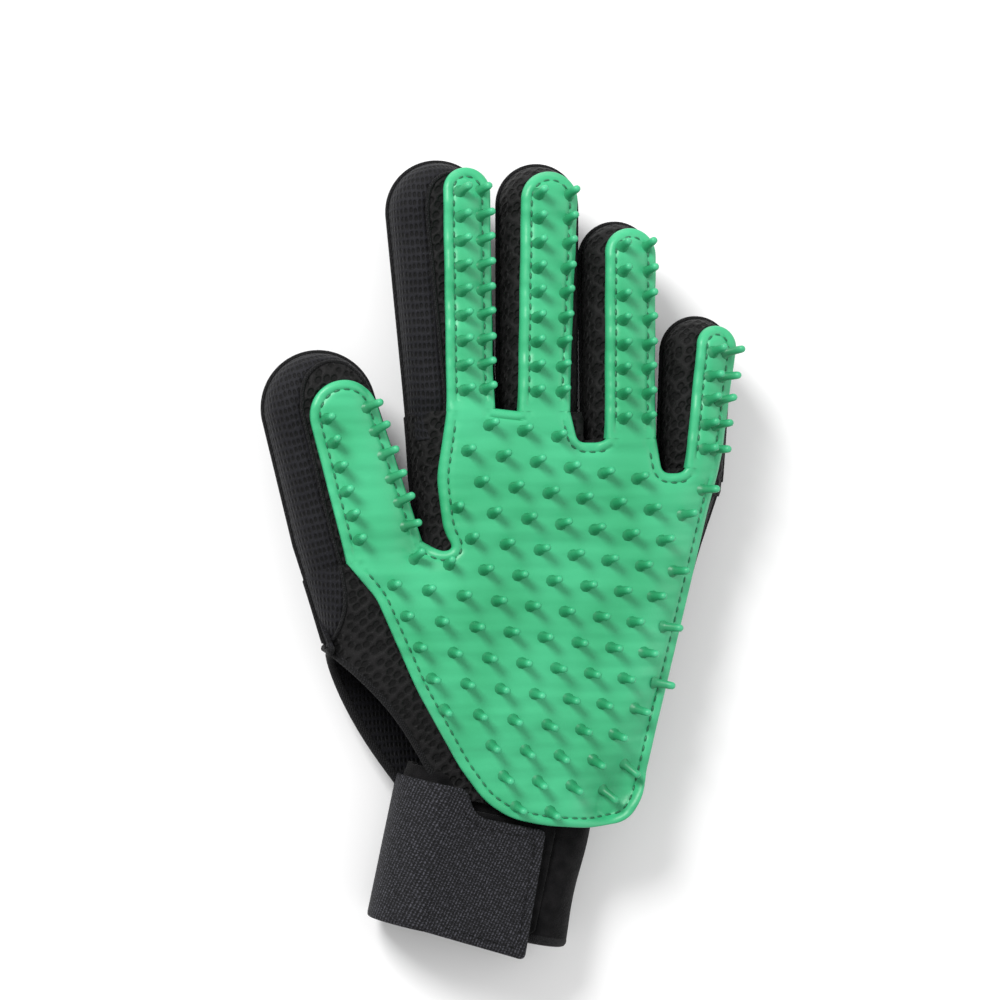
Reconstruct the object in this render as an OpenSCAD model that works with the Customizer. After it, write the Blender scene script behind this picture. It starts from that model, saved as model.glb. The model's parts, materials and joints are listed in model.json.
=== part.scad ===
// Pet grooming glove for the left hand, lying on its back with the pin side up.
// Fingers point along +Y, the thumb points to -X, and the palm faces +Z.

/* [Hand pocket] */
// Outer thickness of the hand pocket
palm_h = 30; // [26:1:36]
// Thickness of the mesh and knit panels
wall = 1.6; // [1.2:0.1:2.2]
// Y of the knuckle line of the index and middle fingers
knuckle_y = 48; // [44:1:52]
// How far the ring finger's root stands back from the knuckle line
ring_back = 8; // [6:1:10]
// How far the little finger's root stands back from the knuckle line
little_back = 17; // [14:1:20]

/* [Fingers] */
// Outer thickness of a finger stall
finger_h = 20; // [17:1:24]
// Length of the index finger stall, from its hinge line
index_len = 72; // [58:1:86]
// Length of the middle finger stall
middle_len = 71.5; // [58:0.5:86]
// Length of the ring finger stall
ring_len = 62.5; // [50:0.5:75]
// Length of the little finger stall
little_len = 43; // [36:1:52]
// Length of the thumb stall
thumb_len = 60; // [50:1:72]
// Half width of the index finger stall at its tip
index_half = 15; // [13:0.5:15.5]
// Half width of the middle finger stall at its tip
middle_half = 12; // [10.5:0.5:12]
// Half width of the ring finger stall at its tip
ring_half = 11; // [10:0.5:11]
// Half width of the little finger stall at its tip
little_half = 10.6; // [9.5:0.1:11]
// Half width of the thumb stall at its tip
thumb_half = 16.5; // [14:0.5:18]

/* [Finger joints] */
// Space between a hinge line and the stall in front of it
stall_gap = 6; // [6:0.5:8]
// Space between a hinge line and the palm panels behind it
palm_gap = 3; // [3:0.5:4]
// Depth of the hinge line below the top of the mesh panel
hinge_depth = 5; // [4:0.5:6]

/* [Rubber brush plate] */
// Thickness of the moulded plate
rubber_t = 2; // [1.5:0.1:3]
// Height of a pin above the plate
pin_h = 6; // [4:0.5:8]
// Radius of a pin at its foot
pin_foot_r = 1.6; // [1.2:0.1:2]
// Radius of a pin at its tip
pin_tip_r = 1.1; // [0.8:0.1:1.2]
// Distance between pins along a row
pin_pitch = 10.6; // [9:0.2:13]
// Distance between rows of pins
pin_row = 8.6; // [7.6:0.2:10]
// Least distance from a pin's axis to the plate's edge
pin_margin = 3.6; // [3:0.1:4.5]

/* [Wrist] */
// Outer width of the cuff
cuff_w = 61; // [54:1:66]
// Outer depth of the cuff
cuff_h = 25; // [22:1:25]
// Length of the cuff along the arm
cuff_len = 42; // [36:1:50]
// Turn of the arm from the middle finger's line
cuff_angle = -12; // [-16:1:-8]
// Thickness of the strap
strap_t = 1.4; // [1:0.1:1.6]
// Thickness of the loop patch
loop_t = 1; // [0.8:0.1:1.1]
// Thickness of the hook patch
hook_t = 1; // [0.8:0.1:1.1]
// How far the strap's free end reaches from its hinge line
tab_reach = 32; // [27:1:37]
// Depth of the hook patch along the strap
hook_w = 26; // [18:1:30]

/* [Hidden] */
$fn = 48;

green = "mediumseagreen";
black = "#1d1c20";
knit = "#2a2a2e";
velvet = "#141414";

// Clearance between two bodies, and between pieces that only lie on each other
clear = 0.3;
// Length of cuts that run out of a solid
over = 1;
finger_z = palm_h - finger_h;

// A finger: root point, turn, length, half widths at root and tip, the rubber strip's
// centre and half width at root and tip, and how far the strip stops short of the tip
thumb = [[-41, 4], 16, thumb_len, 18, thumb_half, [6, 12], [5.5, 10.5], 10];
index = [[-13, knuckle_y], 3.9, index_len, 13.4, index_half, [4.2, 7.3], [7.6, 7.3], 2.4];
middle = [[13.9, knuckle_y], 0, middle_len, 11.9, middle_half, [0, 7.8], [1.9, 8.8], 2.2];
ring = [[39.3, knuckle_y - ring_back], 1, ring_len, 11, ring_half, [1.4, 7.8], [2.6, 8], 1.8];
little = [[62.1, knuckle_y - little_back], -3, little_len, 10.2, little_half,
          [1.5, 5.6], [4, 6.4], 2.2];

function root_of(f) = f[0];
function turn_of(f) = f[1];
function length_of(f) = f[2];
function root_half(f) = f[3];
function tip_half(f) = f[4];
function strip_root(f) = f[5];
function strip_tip(f) = f[6];
function strip_short(f) = f[7];

function turned(p, a) = [p[0] * cos(a) - p[1] * sin(a), p[0] * sin(a) + p[1] * cos(a)];
function on_finger(f, p) = root_of(f) + turned(p, turn_of(f));

// The wrist's middle at the top of the cuff
wrist = [4, -68];
function on_cuff(p) = wrist + turned(p, cuff_angle);
cuff_start = 3;
cuff_half = cuff_w / 2;

// Plan corners where the pocket ends at each finger and at the cuff
top_y = knuckle_y - palm_gap;
ring_y = root_of(ring)[1] - palm_gap;
little_y = root_of(little)[1] - palm_gap;
seam_mr = 27.7;
seam_rl = 51.3;
cuff_left = on_cuff([-cuff_half, clear]);
cuff_right = on_cuff([cuff_half, 2 * clear]);
little_side = [cuff_right, [46, -60], [56.5, -30], [64.5, 0], [72.3, little_y]];
thumb_in = on_finger(thumb, [root_half(thumb), -palm_gap]);
thumb_out = on_finger(thumb, [-root_half(thumb), -palm_gap]);
web_side = [[-26.4, top_y], [-24.5, 28], thumb_in];
vent_top = [-50, -26];
vent_mesh_top = [-46, -24];
vent_mesh_end = [-14, -64.5];

knuckle_edge = [
  [seam_rl, little_y], [seam_rl, ring_y], [seam_mr, ring_y], [seam_mr, top_y]
];
back_plan = concat(little_side, knuckle_edge, web_side, [thumb_out, vent_top, cuff_left]);
mesh_plan = concat(
  little_side, knuckle_edge, web_side, [thumb_out, vent_mesh_top, vent_mesh_end]
);

// Outline of the moulded plate over the palm, from the wrist round to the thumb
function strip_edge(f, side) =
  on_finger(f, [strip_root(f)[0] + side * strip_root(f)[1], -palm_gap]);
slot_mr_y = 35.7;
slot_rl_y = 28.2;
plate_plan = concat(
  [[-4, -72], [3.6, -77], [14, -79.4], [29, -80.6], [40, -79], [45, -72],
   [50, -50], [56, -26], [62.6, 1], [66, 16]],
  [strip_edge(little, 1), strip_edge(little, -1)],
  [[57, min(slot_rl_y, little_y) - 1.5], [50.4, min(slot_rl_y, little_y) - 1.5]],
  [strip_edge(ring, 1), strip_edge(ring, -1)],
  [[31.5, slot_mr_y], [24, slot_mr_y]],
  [strip_edge(middle, 1), strip_edge(middle, -1)],
  [strip_edge(index, 1), strip_edge(index, -1)],
  [[-18.5, 25], [-16.5, 9], [-13.5, 4], [-17, 2.8]],
  [strip_edge(thumb, 1), strip_edge(thumb, -1)],
  [[-37, -11], [-25, -38], [-11.4, -62]]
);

// The strap's free end and its hinge line, in the cuff's own plan
tab_hinge_x = -cuff_half + cuff_h / 2 + 1;
tab_end = tab_hinge_x + tab_reach;
tab_top = -10.6;
tab_low = -50;
tab_plan = [
  [tab_hinge_x + 0.8, -cuff_start], [tab_hinge_x + 4, -cuff_start],
  [tab_hinge_x + 8.5, tab_top],
  [tab_end - 1.5, tab_top], [tab_end, tab_low],
  [tab_hinge_x + 0.8, tab_low + 3]
];
loop_z = cuff_h;
hook_z = loop_z + loop_t + 0.05;
tab_z = hook_z + hook_t;

// Centre of the plan, so that the origin lies under the middle of the glove
function tip_centre(f) = on_finger(f, [0, length_of(f) - tip_half(f)]);
x_low = min(tip_centre(thumb)[0] - tip_half(thumb), thumb_out[0] - 0.1);
x_high = tip_centre(little)[0] + tip_half(little);
y_high = max([for (f = [index, middle, ring]) tip_centre(f)[1] + tip_half(f)]);
y_low = on_cuff([tab_end, tab_low])[1];
mid = [(x_low + x_high) / 2, (y_low + y_high) / 2];

// Distance from p to the stretch a-b, and to the nearest edge of a closed outline
function edge_distance(p, a, b) =
  let (t = max(0, min(1, ((p - a) * (b - a)) / ((b - a) * (b - a)))))
  norm(p - a - t * (b - a));
function outline_distance(p, pts) =
  min([for (i = [0 : len(pts) - 1]) edge_distance(p, pts[i], pts[(i + 1) % len(pts)])]);
// True where an edge of the outline passes over p
function passes(p, a, b) =
  (a[1] > p[1]) != (b[1] > p[1])
  && p[0] < a[0] + (p[1] - a[1]) * (b[0] - a[0]) / (b[1] - a[1]);
function inside(p, pts) =
  len([for (i = [0 : len(pts) - 1]) if (passes(p, pts[i], pts[(i + 1) % len(pts)])) i]) % 2
  == 1;

// Palm pins stand in staggered rows, turned a little across the palm
pin_turn = -9;
pin_reach = 13;
palm_pins = [
  for (row = [-pin_reach : pin_reach], col = [-pin_reach : pin_reach])
    let (p = turned([(col + (row % 2 == 0 ? 0 : 0.5)) * pin_pitch, row * pin_row], pin_turn)
             + [20, -15])
    if (inside(p, plate_plan) && outline_distance(p, plate_plan) > pin_margin) p
];
// Finger pins stand side by side in rows of two
finger_row = 7.4;
function strip_at(f, y) =
  let (t = y / (length_of(f) - strip_short(f) - strip_tip(f)[1]))
  strip_root(f) + min(t, 1) * (strip_tip(f) - strip_root(f));
function finger_pins(f) = [
  for (i = [0 : floor((length_of(f) - strip_short(f) - stall_gap - 9) / finger_row)])
    let (y = stall_gap + 4.5 + i * finger_row, s = strip_at(f, y), reach = s[1] - pin_margin)
    each [[s[0] - reach, y], [s[0] + reach, y]]
];

module centred() {
  translate([-mid[0], -mid[1], 0]) children();
}

module at_finger(f) {
  centred()
    translate([root_of(f)[0], root_of(f)[1], 0])
      rotate([0, 0, turn_of(f)]) children();
}

module at_cuff() {
  centred()
    translate([wrist[0], wrist[1], 0])
      rotate([0, 0, cuff_angle]) children();
}

module pins(places, z) {
  sink = 0.4;
  for (p = places)
    translate([p[0], p[1], z - sink])
      cylinder(h = pin_h + sink, r1 = pin_foot_r, r2 = pin_tip_r, $fn = 24);
}

// Plan of a stall, from start to its round tip
module stall_plan(f, inset, start) {
  tip_y = length_of(f) - tip_half(f);
  root = root_half(f) - inset;
  tip = tip_half(f) - inset;
  polygon([[-root, start], [root, start], [tip, tip_y], [-tip, tip_y]]);
  translate([0, tip_y]) circle(tip);
}

module finger_rubber(f) {
  a = strip_at(f, stall_gap);
  b = strip_tip(f);
  tip_y = length_of(f) - strip_short(f) - b[1];
  color(green)
    at_finger(f) {
      translate([0, 0, palm_h])
        linear_extrude(rubber_t) {
          polygon([
            [a[0] - a[1], stall_gap], [a[0] + a[1], stall_gap],
            [b[0] + b[1], tip_y], [b[0] - b[1], tip_y]
          ]);
          translate([b[0], tip_y]) circle(b[1]);
        }
      pins(finger_pins(f), palm_h + rubber_t);
    }
}

module finger_mesh(f) {
  color(black)
    at_finger(f)
      translate([0, 0, palm_h - wall])
        linear_extrude(wall) stall_plan(f, 0, stall_gap);
}

module finger_back(f) {
  color(knit)
    at_finger(f)
      translate([0, 0, finger_z])
        linear_extrude(wall) stall_plan(f, 0, stall_gap);
}

module finger_gusset(f) {
  color(black)
    at_finger(f)
      translate([0, 0, finger_z + wall])
        linear_extrude(finger_h - 2 * wall)
          difference() {
            stall_plan(f, 0, stall_gap);
            stall_plan(f, wall, stall_gap - over);
          }
}

// Stretch sleeve that closes the gap at a finger's root
module finger_knuckle(f) {
  low = -palm_gap + 1.3;
  high = stall_gap - clear;
  half = root_half(f) - 0.2;
  color(knit)
    at_finger(f)
      difference() {
        translate([-half, low, finger_z + 0.2])
          cube([2 * half, high - low, finger_h - 0.4]);
        translate([-half + wall, low - over, finger_z + 0.2 + wall])
          cube([2 * (half - wall), high - low + 2 * over, finger_h - 0.4 - 2 * wall]);
      }
}

module palm_rubber() {
  color(green)
    centred() {
      translate([0, 0, palm_h])
        linear_extrude(rubber_t) polygon(plate_plan);
      pins(palm_pins, palm_h + rubber_t);
    }
}

module palm_mesh() {
  color(black)
    centred()
      translate([0, 0, palm_h - wall])
        linear_extrude(wall) polygon(mesh_plan);
}

module back_panel() {
  color(knit)
    centred()
      linear_extrude(wall) polygon(back_plan);
}

// Upright strip of fabric, between the two panels, inside the stretch of outline it follows
module side_strip(pts, inward, z = wall, h = palm_h - 2 * wall) {
  back = [for (i = [len(pts) - 1 : -1 : 0]) pts[i] + inward];
  centred()
    translate([0, 0, z])
      linear_extrude(h) polygon(concat(pts, back));
}

module little_side_gusset() {
  color(black) side_strip(little_side, [-wall, 0]);
}

module web_gusset() {
  color(black) side_strip(web_side, [wall, 0]);
}

module thumb_base_gusset() {
  color(black) side_strip([thumb_out, vent_top], [wall, 0], wall, palm_h - 2 * wall);
}

// Folded tape along the palm panel's edge at the vent
module vent_binding() {
  tape = 2.4;
  color(velvet)
    side_strip([vent_mesh_top, vent_mesh_end], [tape, 0], palm_h - wall - 1.2, 1.2);
}

// Outline of the cuff across the arm
module cuff_section(inset) {
  r = cuff_h / 2 - inset;
  flat = cuff_half - cuff_h / 2;
  translate([-flat, cuff_h / 2]) circle(r);
  translate([flat, cuff_h / 2]) circle(r);
  translate([-flat, inset]) square([2 * flat, 2 * r]);
}

// A stretch of cuff between two distances down the arm
module cuff_ring(outer, inner, from, to) {
  at_cuff()
    translate([0, -from, 0])
      rotate([90, 0, 0])
        linear_extrude(to - from)
          difference() {
            cuff_section(outer);
            cuff_section(inner);
          }
}

module cuff_band() {
  color(velvet) cuff_ring(0, wall, 0, cuff_start + cuff_len - 2);
}

// Bound hem at the cuff's open end
module cuff_binding() {
  end = cuff_start + cuff_len - 2;
  color(black) cuff_ring(0, wall + 0.6, end, end + 2);
}

// It starts clear of the strap's hinge line and ends where the cuff's flat does
module loop_patch() {
  left = tab_hinge_x + 5;
  right = cuff_half - cuff_h / 2 - 1;
  color(velvet)
    at_cuff()
      translate([left, -cuff_start - cuff_len + 3, loop_z])
        cube([right - left, cuff_len - 9, loop_t]);
}

// Sewn end of the strap, bent round the cuff's thumb side up to the hinge line
module strap_wrap() {
  low = -cuff_half - strap_t;
  color(knit)
    intersection() {
      cuff_ring(-strap_t, 0, cuff_start, cuff_start + cuff_len - 3);
      at_cuff()
        translate([low - over, -cuff_start - cuff_len, 2])
          cube([tab_hinge_x - low + over, cuff_len, cuff_h + strap_t]);
    }
}

module strap_tab() {
  color(knit)
    at_cuff()
      translate([0, 0, tab_z])
        linear_extrude(strap_t) polygon(tab_plan);
}

module hook_patch() {
  margin = 1.6;
  color(black)
    at_cuff()
      translate([tab_end - margin - hook_w, tab_low + 9, hook_z])
        cube([hook_w - 1, tab_top - tab_low - 11, hook_t]);
}

palm_rubber();
palm_mesh();
back_panel();
little_side_gusset();
web_gusset();
thumb_base_gusset();
vent_binding();
cuff_band();
cuff_binding();
loop_patch();
strap_wrap();
strap_tab();
hook_patch();
finger_rubber(thumb);  // thumb_rubber
finger_mesh(thumb);  // thumb_mesh
finger_gusset(thumb);  // thumb_gusset
finger_back(thumb);  // thumb_back
finger_knuckle(thumb);  // thumb_knuckle
finger_rubber(index);  // index_rubber
finger_mesh(index);  // index_mesh
finger_gusset(index);  // index_gusset
finger_back(index);  // index_back
finger_knuckle(index);  // index_knuckle
finger_rubber(middle);  // middle_rubber
finger_mesh(middle);  // middle_mesh
finger_gusset(middle);  // middle_gusset
finger_back(middle);  // middle_back
finger_knuckle(middle);  // middle_knuckle
finger_rubber(ring);  // ring_rubber
finger_mesh(ring);  // ring_mesh
finger_gusset(ring);  // ring_gusset
finger_back(ring);  // ring_back
finger_knuckle(ring);  // ring_knuckle
finger_rubber(little);  // little_rubber
finger_mesh(little);  // little_mesh
finger_gusset(little);  // little_gusset
finger_back(little);  // little_back
finger_knuckle(little);  // little_knuckle
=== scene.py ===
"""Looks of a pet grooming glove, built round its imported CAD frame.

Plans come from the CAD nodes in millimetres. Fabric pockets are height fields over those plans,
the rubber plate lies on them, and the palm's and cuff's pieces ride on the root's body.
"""
from __future__ import annotations

import json
import logging
import math
from dataclasses import dataclass
from enum import Enum

import bmesh
import bpy
import numpy as np
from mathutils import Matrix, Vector
from mathutils.geometry import delaunay_2d_cdt


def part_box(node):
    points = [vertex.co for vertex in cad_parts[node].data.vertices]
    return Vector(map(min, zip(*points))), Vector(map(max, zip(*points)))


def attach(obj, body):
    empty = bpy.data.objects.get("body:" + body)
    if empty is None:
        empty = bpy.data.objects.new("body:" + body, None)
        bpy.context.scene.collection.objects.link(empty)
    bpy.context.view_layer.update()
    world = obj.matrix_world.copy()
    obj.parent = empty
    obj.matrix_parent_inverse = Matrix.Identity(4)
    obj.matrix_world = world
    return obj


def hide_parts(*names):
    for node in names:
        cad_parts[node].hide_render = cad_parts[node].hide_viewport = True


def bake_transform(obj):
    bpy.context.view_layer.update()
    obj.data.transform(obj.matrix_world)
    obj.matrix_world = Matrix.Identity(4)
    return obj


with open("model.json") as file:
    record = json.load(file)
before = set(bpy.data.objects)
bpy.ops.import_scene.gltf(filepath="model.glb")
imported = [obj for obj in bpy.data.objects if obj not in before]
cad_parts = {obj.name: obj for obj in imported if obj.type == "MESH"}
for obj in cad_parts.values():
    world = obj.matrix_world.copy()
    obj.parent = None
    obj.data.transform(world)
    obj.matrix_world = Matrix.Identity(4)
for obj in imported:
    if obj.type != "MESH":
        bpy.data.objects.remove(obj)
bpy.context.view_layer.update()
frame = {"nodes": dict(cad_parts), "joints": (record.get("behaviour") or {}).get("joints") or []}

Array = np.ndarray
Shape = tuple[Array, list]  # vertices and faces
Object = bpy.types.Object
Material = bpy.types.Material
Socket = bpy.types.NodeSocket
Tree = bpy.types.NodeTree
LOG = logging.getLogger("glove")
MM = 0.001
FINGERS = ("thumb", "index", "middle", "ring", "little")
TOP_Z = 1000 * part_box("palm_mesh")[1].z
FINGER_LOW_Z = 1000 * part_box("index_back")[0].z
CUFF_TOP_Z = 1000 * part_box("cuff_band")[1].z
FINGER_MID_Z = (TOP_Z + FINGER_LOW_Z) / 2
UP = np.array([0.0, 0.0, 1.0])
ROOT_Y = -3.0  # where the palm's panels end, behind each finger's hinge line
BEND = (-3.0, 9.0)  # ends of a finger's bend beyond its hinge line, which blend works out but does not use
KNIT_SHOWS = ("thumb", "index")  # fingers whose back knit comes round to the palm side
EDGE_CORD = (0.6, 0.65)  # half width and half height of the cord along an edge of knit
TAIL = -7.0  # where a finger's seams start, inside the hand


class Side(Enum):
    """The palm side or the back of a pocket."""

    PALM = 1
    BACK = -1


# ---------------------------------------------------------------- plan geometry


def node_points(node: str) -> Array:
    """The vertices of a CAD node in millimetres, as an (n, 3) array.

    Args:
        node: the CAD node's name.

    Returns:
        An (n, 3) array.
    """
    mesh = frame["nodes"][node].data
    co = np.zeros(len(mesh.vertices) * 3, np.float32)
    mesh.vertices.foreach_get("co", co)
    return 1000 * co.reshape(-1, 3).astype(float)


def node_plan(node: str, z: float) -> Array:
    """The outline of the flat face of a CAD node at height z, anticlockwise.

    A boundary edge belongs to one triangle only; the edges are then chained into a loop.

    Args:
        node: the CAD node's name.
        z: height of the face in millimetres.

    Returns:
        An (n, 2) array of corners in millimetres.
    """
    mesh = frame["nodes"][node].data
    mesh.calc_loop_triangles()
    tri = np.zeros(len(mesh.loop_triangles) * 3, np.int32)
    mesh.loop_triangles.foreach_get("vertices", tri)
    co = node_points(node)
    keys, index = np.unique(np.round(co, 3), axis=0, return_inverse=True)
    tri = index.reshape(-1)[tri].reshape(-1, 3)
    flat = tri[(np.abs(keys[tri][:, :, 2] - z) < 0.02).all(1)]
    edges = np.vstack([flat[:, [0, 1]], flat[:, [1, 2]], flat[:, [2, 0]]])
    pairs, count = np.unique(np.sort(edges, 1), axis=0, return_counts=True)
    rim = {}
    for a, b in pairs[count == 1]:
        rim.setdefault(int(a), []).append(int(b))
        rim.setdefault(int(b), []).append(int(a))
    start = min(rim, key=lambda v: tuple(keys[v][:2]))
    loop, last, here = [start], -1, start
    while True:
        onward = [v for v in rim[here] if v != last]
        last, here = here, onward[0]
        if here == start:
            break
        loop.append(here)
    points = keys[loop][:, :2]
    turn = np.cross(points, np.roll(points, -1, 0)).sum()
    return points if turn > 0 else points[::-1]


def feet_on(points: Array, a: Array, b: Array) -> tuple[Array, Array]:
    """The nearest place on each of the stretches a-b to each point, and how far it is.

    Args:
        points: (n, 2) places.
        a: (m, 2) starts of the stretches.
        b: (m, 2) ends of the stretches.

    Returns:
        (n, m, 2) places and (n, m) distances.
    """
    d = b - a
    rel = points[:, None, :] - a[None]
    t = np.clip((rel * d).sum(2) / np.maximum((d * d).sum(1), 1e-12), 0, 1)
    foot = a[None] + t[..., None] * d
    return foot, np.linalg.norm(points[:, None] - foot, axis=2)


def segment_distance(points: Array, a: Array, b: Array) -> Array:
    """Distance from each point to the nearest of the stretches a-b.

    Args:
        points: (n, 2) places.
        a: (m, 2) starts of the stretches.
        b: (m, 2) ends of the stretches.

    Returns:
        (n,) distances in millimetres.
    """
    return feet_on(points, a, b)[1].min(1)


def loop_distance(points: Array, loop: Array) -> Array:
    """Distance from each point to a closed outline."""
    return segment_distance(points, loop, np.roll(loop, -1, 0))


def inside(points: Array, loop: Array) -> Array:
    """True for the points within a closed outline, by counting the edges that pass each one.

    Args:
        points: (n, 2) places.
        loop: (m, 2) corners of the outline.

    Returns:
        (n,) True for a point within it.
    """
    a, b = loop[None], np.roll(loop, -1, 0)[None]
    p = points[:, None, :]
    spans = (a[..., 1] > p[..., 1]) != (b[..., 1] > p[..., 1])
    rise = np.where(np.abs(b[..., 1] - a[..., 1]) < 1e-9, 1e-9, b[..., 1] - a[..., 1])
    x = a[..., 0] + (p[..., 1] - a[..., 1]) * (b[..., 0] - a[..., 0]) / rise
    return (spans & (p[..., 0] < x)).sum(1) % 2 == 1


def smooth(t: Array) -> Array:
    """The smooth step 3t^2 - 2t^3, clipped to 0..1."""
    t = np.clip(t, 0, 1)
    return t * t * (3 - 2 * t)


def dip(d: Array, middle: float, width: float) -> Array:
    """A Gaussian that is 1 at middle and falls off over width: exp(-((d - middle) / width)^2)."""
    return np.exp(-(((d - middle) / width) ** 2))


def lifted(plan: Array, height: Array | float) -> Array:
    """Plan points at a height or heights, as (n, 3)."""
    return np.column_stack([plan, np.broadcast_to(height, len(plan))])


def run_along(path: Array) -> Array:
    """The length of a path from its start to each of its points."""
    return np.concatenate([[0], np.cumsum(np.linalg.norm(np.diff(path, axis=0), axis=1))])


def dome(t: Array, power: float = 2.3) -> Array:
    """Rounding from 0 at an edge to 1 on the flat: (1 - (1-t)^p)^(1/p)."""
    return (1 - (1 - np.clip(t, 0, 1)) ** power) ** (1 / power)


def nearest_on(points: Array, a: Array, b: Array) -> Array:
    """The nearest place on the stretches a-b to each point.

    Args:
        points: (n, 2) places.
        a: (m, 2) starts of the stretches.
        b: (m, 2) ends of the stretches.

    Returns:
        (n, 2) places.
    """
    foot, distance = feet_on(points, a, b)
    return foot[np.arange(len(points)), distance.argmin(1)]


def unrolled(points: Array, a: Array, b: Array, reach: float, rise: float) -> Array:
    """Cloth coordinates of a panel that curves down over reach towards the sides a-b.

    A point moves outwards by the arc length of the dome beyond it, less its plan length, so that
    the weave keeps its size round the edge.

    Args:
        points: (n, 2) plan places.
        a: starts of the side's stretches.
        b: ends of the side's stretches.
        reach: width of the rounding.
        rise: its height.

    Returns:
        (n, 3) cloth coordinates in millimetres.
    """
    foot = nearest_on(points, a, b)
    away = foot - points
    d = np.linalg.norm(away, axis=1)
    t = np.linspace(0, reach, 200) ** 2 / reach
    arc = np.hypot(np.diff(t), rise * np.diff(dome(t / reach)))
    beyond = np.concatenate([np.cumsum(arc[::-1])[::-1], [0]])
    extra = np.interp(d, t, beyond - (reach - t))
    moved = points + away / np.maximum(d, 1e-6)[:, None] * extra[:, None]
    return lifted(moved, 0.0)


def rounded(loop: Array, reach: float, notch: float, sharp: Array) -> Array:
    """An outline whose corners are cut by quadratic curves.

    Args:
        loop: (n, 2) anticlockwise corners.
        reach: longest cut at an outward corner.
        notch: longest cut at an inward corner.
        sharp: (n,) True where a corner stays.

    Returns:
        A denser (m, 2) outline.
    """
    out = []
    n = len(loop)
    for i in range(n):
        p, c, q = loop[i - 1], loop[i], loop[(i + 1) % n]
        if sharp[i]:
            out.append(c[None])
            continue
        u, v = p - c, q - c
        lu, lv = np.linalg.norm(u), np.linalg.norm(v)
        limit = reach if np.cross(c - p, q - c) > 0 else notch
        cut_u = min(limit, lu / 2 if not sharp[i - 1] else 0.9 * lu)
        cut_v = min(limit, lv / 2 if not sharp[(i + 1) % n] else 0.9 * lv)
        a, b = c + u / lu * cut_u, c + v / lv * cut_v
        t = np.linspace(0, 1, 9)[:, None]
        out.append((1 - t) ** 2 * a + 2 * t * (1 - t) * c + t * t * b)
    merged = np.vstack(out)
    gap = np.linalg.norm(merged - np.roll(merged, 1, 0), axis=1)
    return merged[gap > 1e-4]


def dense(line: Array, step: float, closed: bool = True) -> Array:
    """Adds points along each stretch so that none is longer than step.

    Args:
        line: (n, 2) points.
        step: the longest stretch allowed.
        closed: True if the last point joins the first.

    Returns:
        The denser line.
    """
    ends = np.roll(line, -1, 0) if closed else line[1:]
    starts = line if closed else line[:-1]
    out = []
    for a, b in zip(starts, ends):
        count = max(1, math.ceil(np.linalg.norm(b - a) / step - 1e-6))
        out.append(a + (b - a) * (np.arange(count) / count)[:, None])
    if not closed:
        out.append(line[-1:])
    return np.vstack(out)


def inward(loop: Array) -> Array:
    """Unit normals that point into an anticlockwise outline.

    Args:
        loop: (n, 2) points.

    Returns:
        (n, 2) unit vectors.
    """
    t = np.roll(loop, -1, 0) - np.roll(loop, 1, 0)
    t /= np.maximum(np.linalg.norm(t, axis=1, keepdims=True), 1e-9)
    return np.stack([-t[:, 1], t[:, 0]], 1)


def triangulate(loop: Array, rings: tuple[float, ...], step: float,
                line: Array | None = None) -> tuple[Array, Array]:
    """Fills an outline with rings along its edge and a staggered grid in its middle.

    Args:
        loop: (n, 2) dense anticlockwise outline.
        rings: distances of the rings from the edge.
        step: spacing of the grid.
        line: an open line that the triangles keep to, if any.

    Returns:
        Points with the outline first, and triangles.
    """
    parts = [loop]
    normal = inward(loop)
    for d in rings:
        ring = loop + normal * d
        parts.append(ring[(loop_distance(ring, loop) > d - 0.03) & inside(ring, loop)])
    lo, hi = loop.min(0), loop.max(0)
    row = step * math.sqrt(0.75)
    gx, gy = np.meshgrid(np.arange(lo[0], hi[0], step), np.arange(lo[1], hi[1], row))
    gx = gx + (np.arange(gx.shape[0]) % 2)[:, None] * step / 2
    grid = np.stack([gx.ravel(), gy.ravel()], 1)
    grid = grid[inside(grid, loop)]
    clear = (rings[-1] if rings else 0) + 0.55 * step
    parts.append(grid[loop_distance(grid, loop) > clear])
    points = np.vstack(parts)
    n = len(loop)
    kept = []
    if line is not None:
        far = segment_distance(points, line[:-1], line[1:]) > 0.6
        far[:n] = True
        points = np.vstack([points[far], line])
        first = len(points) - len(line)
        kept = [(first + i, first + i + 1) for i in range(len(line) - 1)]
    verts, _, faces, *_ = delaunay_2d_cdt(
        [Vector(p) for p in points.tolist()], kept, [list(range(n))], 1, 1e-4
    )
    out = np.array([tuple(v) for v in verts])
    tri = np.array([list(f) for f in faces], int)
    a, b, c = out[tri[:, 0]], out[tri[:, 1]], out[tri[:, 2]]
    flip = np.cross(b - a, c - a) < 0
    tri[flip] = tri[flip][:, ::-1]
    return out, tri


def rim_edges(tri: Array) -> Array:
    """Directed edges that belong to one triangle only.

    Args:
        tri: (n, 3) triangles.

    Returns:
        (k, 2) vertex pairs, in the direction of their triangle.
    """
    edges = np.vstack([tri[:, [0, 1]], tri[:, [1, 2]], tri[:, [2, 0]]])
    key = np.sort(edges, 1)
    _, first, count = np.unique(key, axis=0, return_index=True, return_counts=True)
    return edges[first[count == 1]]


def slab(points: Array, tri: Array, top: Array, low: Array) -> Shape:
    """A closed sheet between two heights over one triangulated plan.

    Args:
        points: (n, 2) plan.
        tri: triangles, anticlockwise.
        top: (n,) upper heights.
        low: (n,) lower heights.

    Returns:
        Vertices and faces.
    """
    n = len(points)
    verts = np.vstack([lifted(points, top), lifted(points, low)])
    rim = rim_edges(tri)
    wall = np.column_stack([rim[:, 1], rim[:, 0], rim[:, 0] + n, rim[:, 1] + n])
    return verts, tri.tolist() + (tri[:, ::-1] + n).tolist() + wall.tolist()


# ---------------------------------------------------------------- meshes


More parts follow.
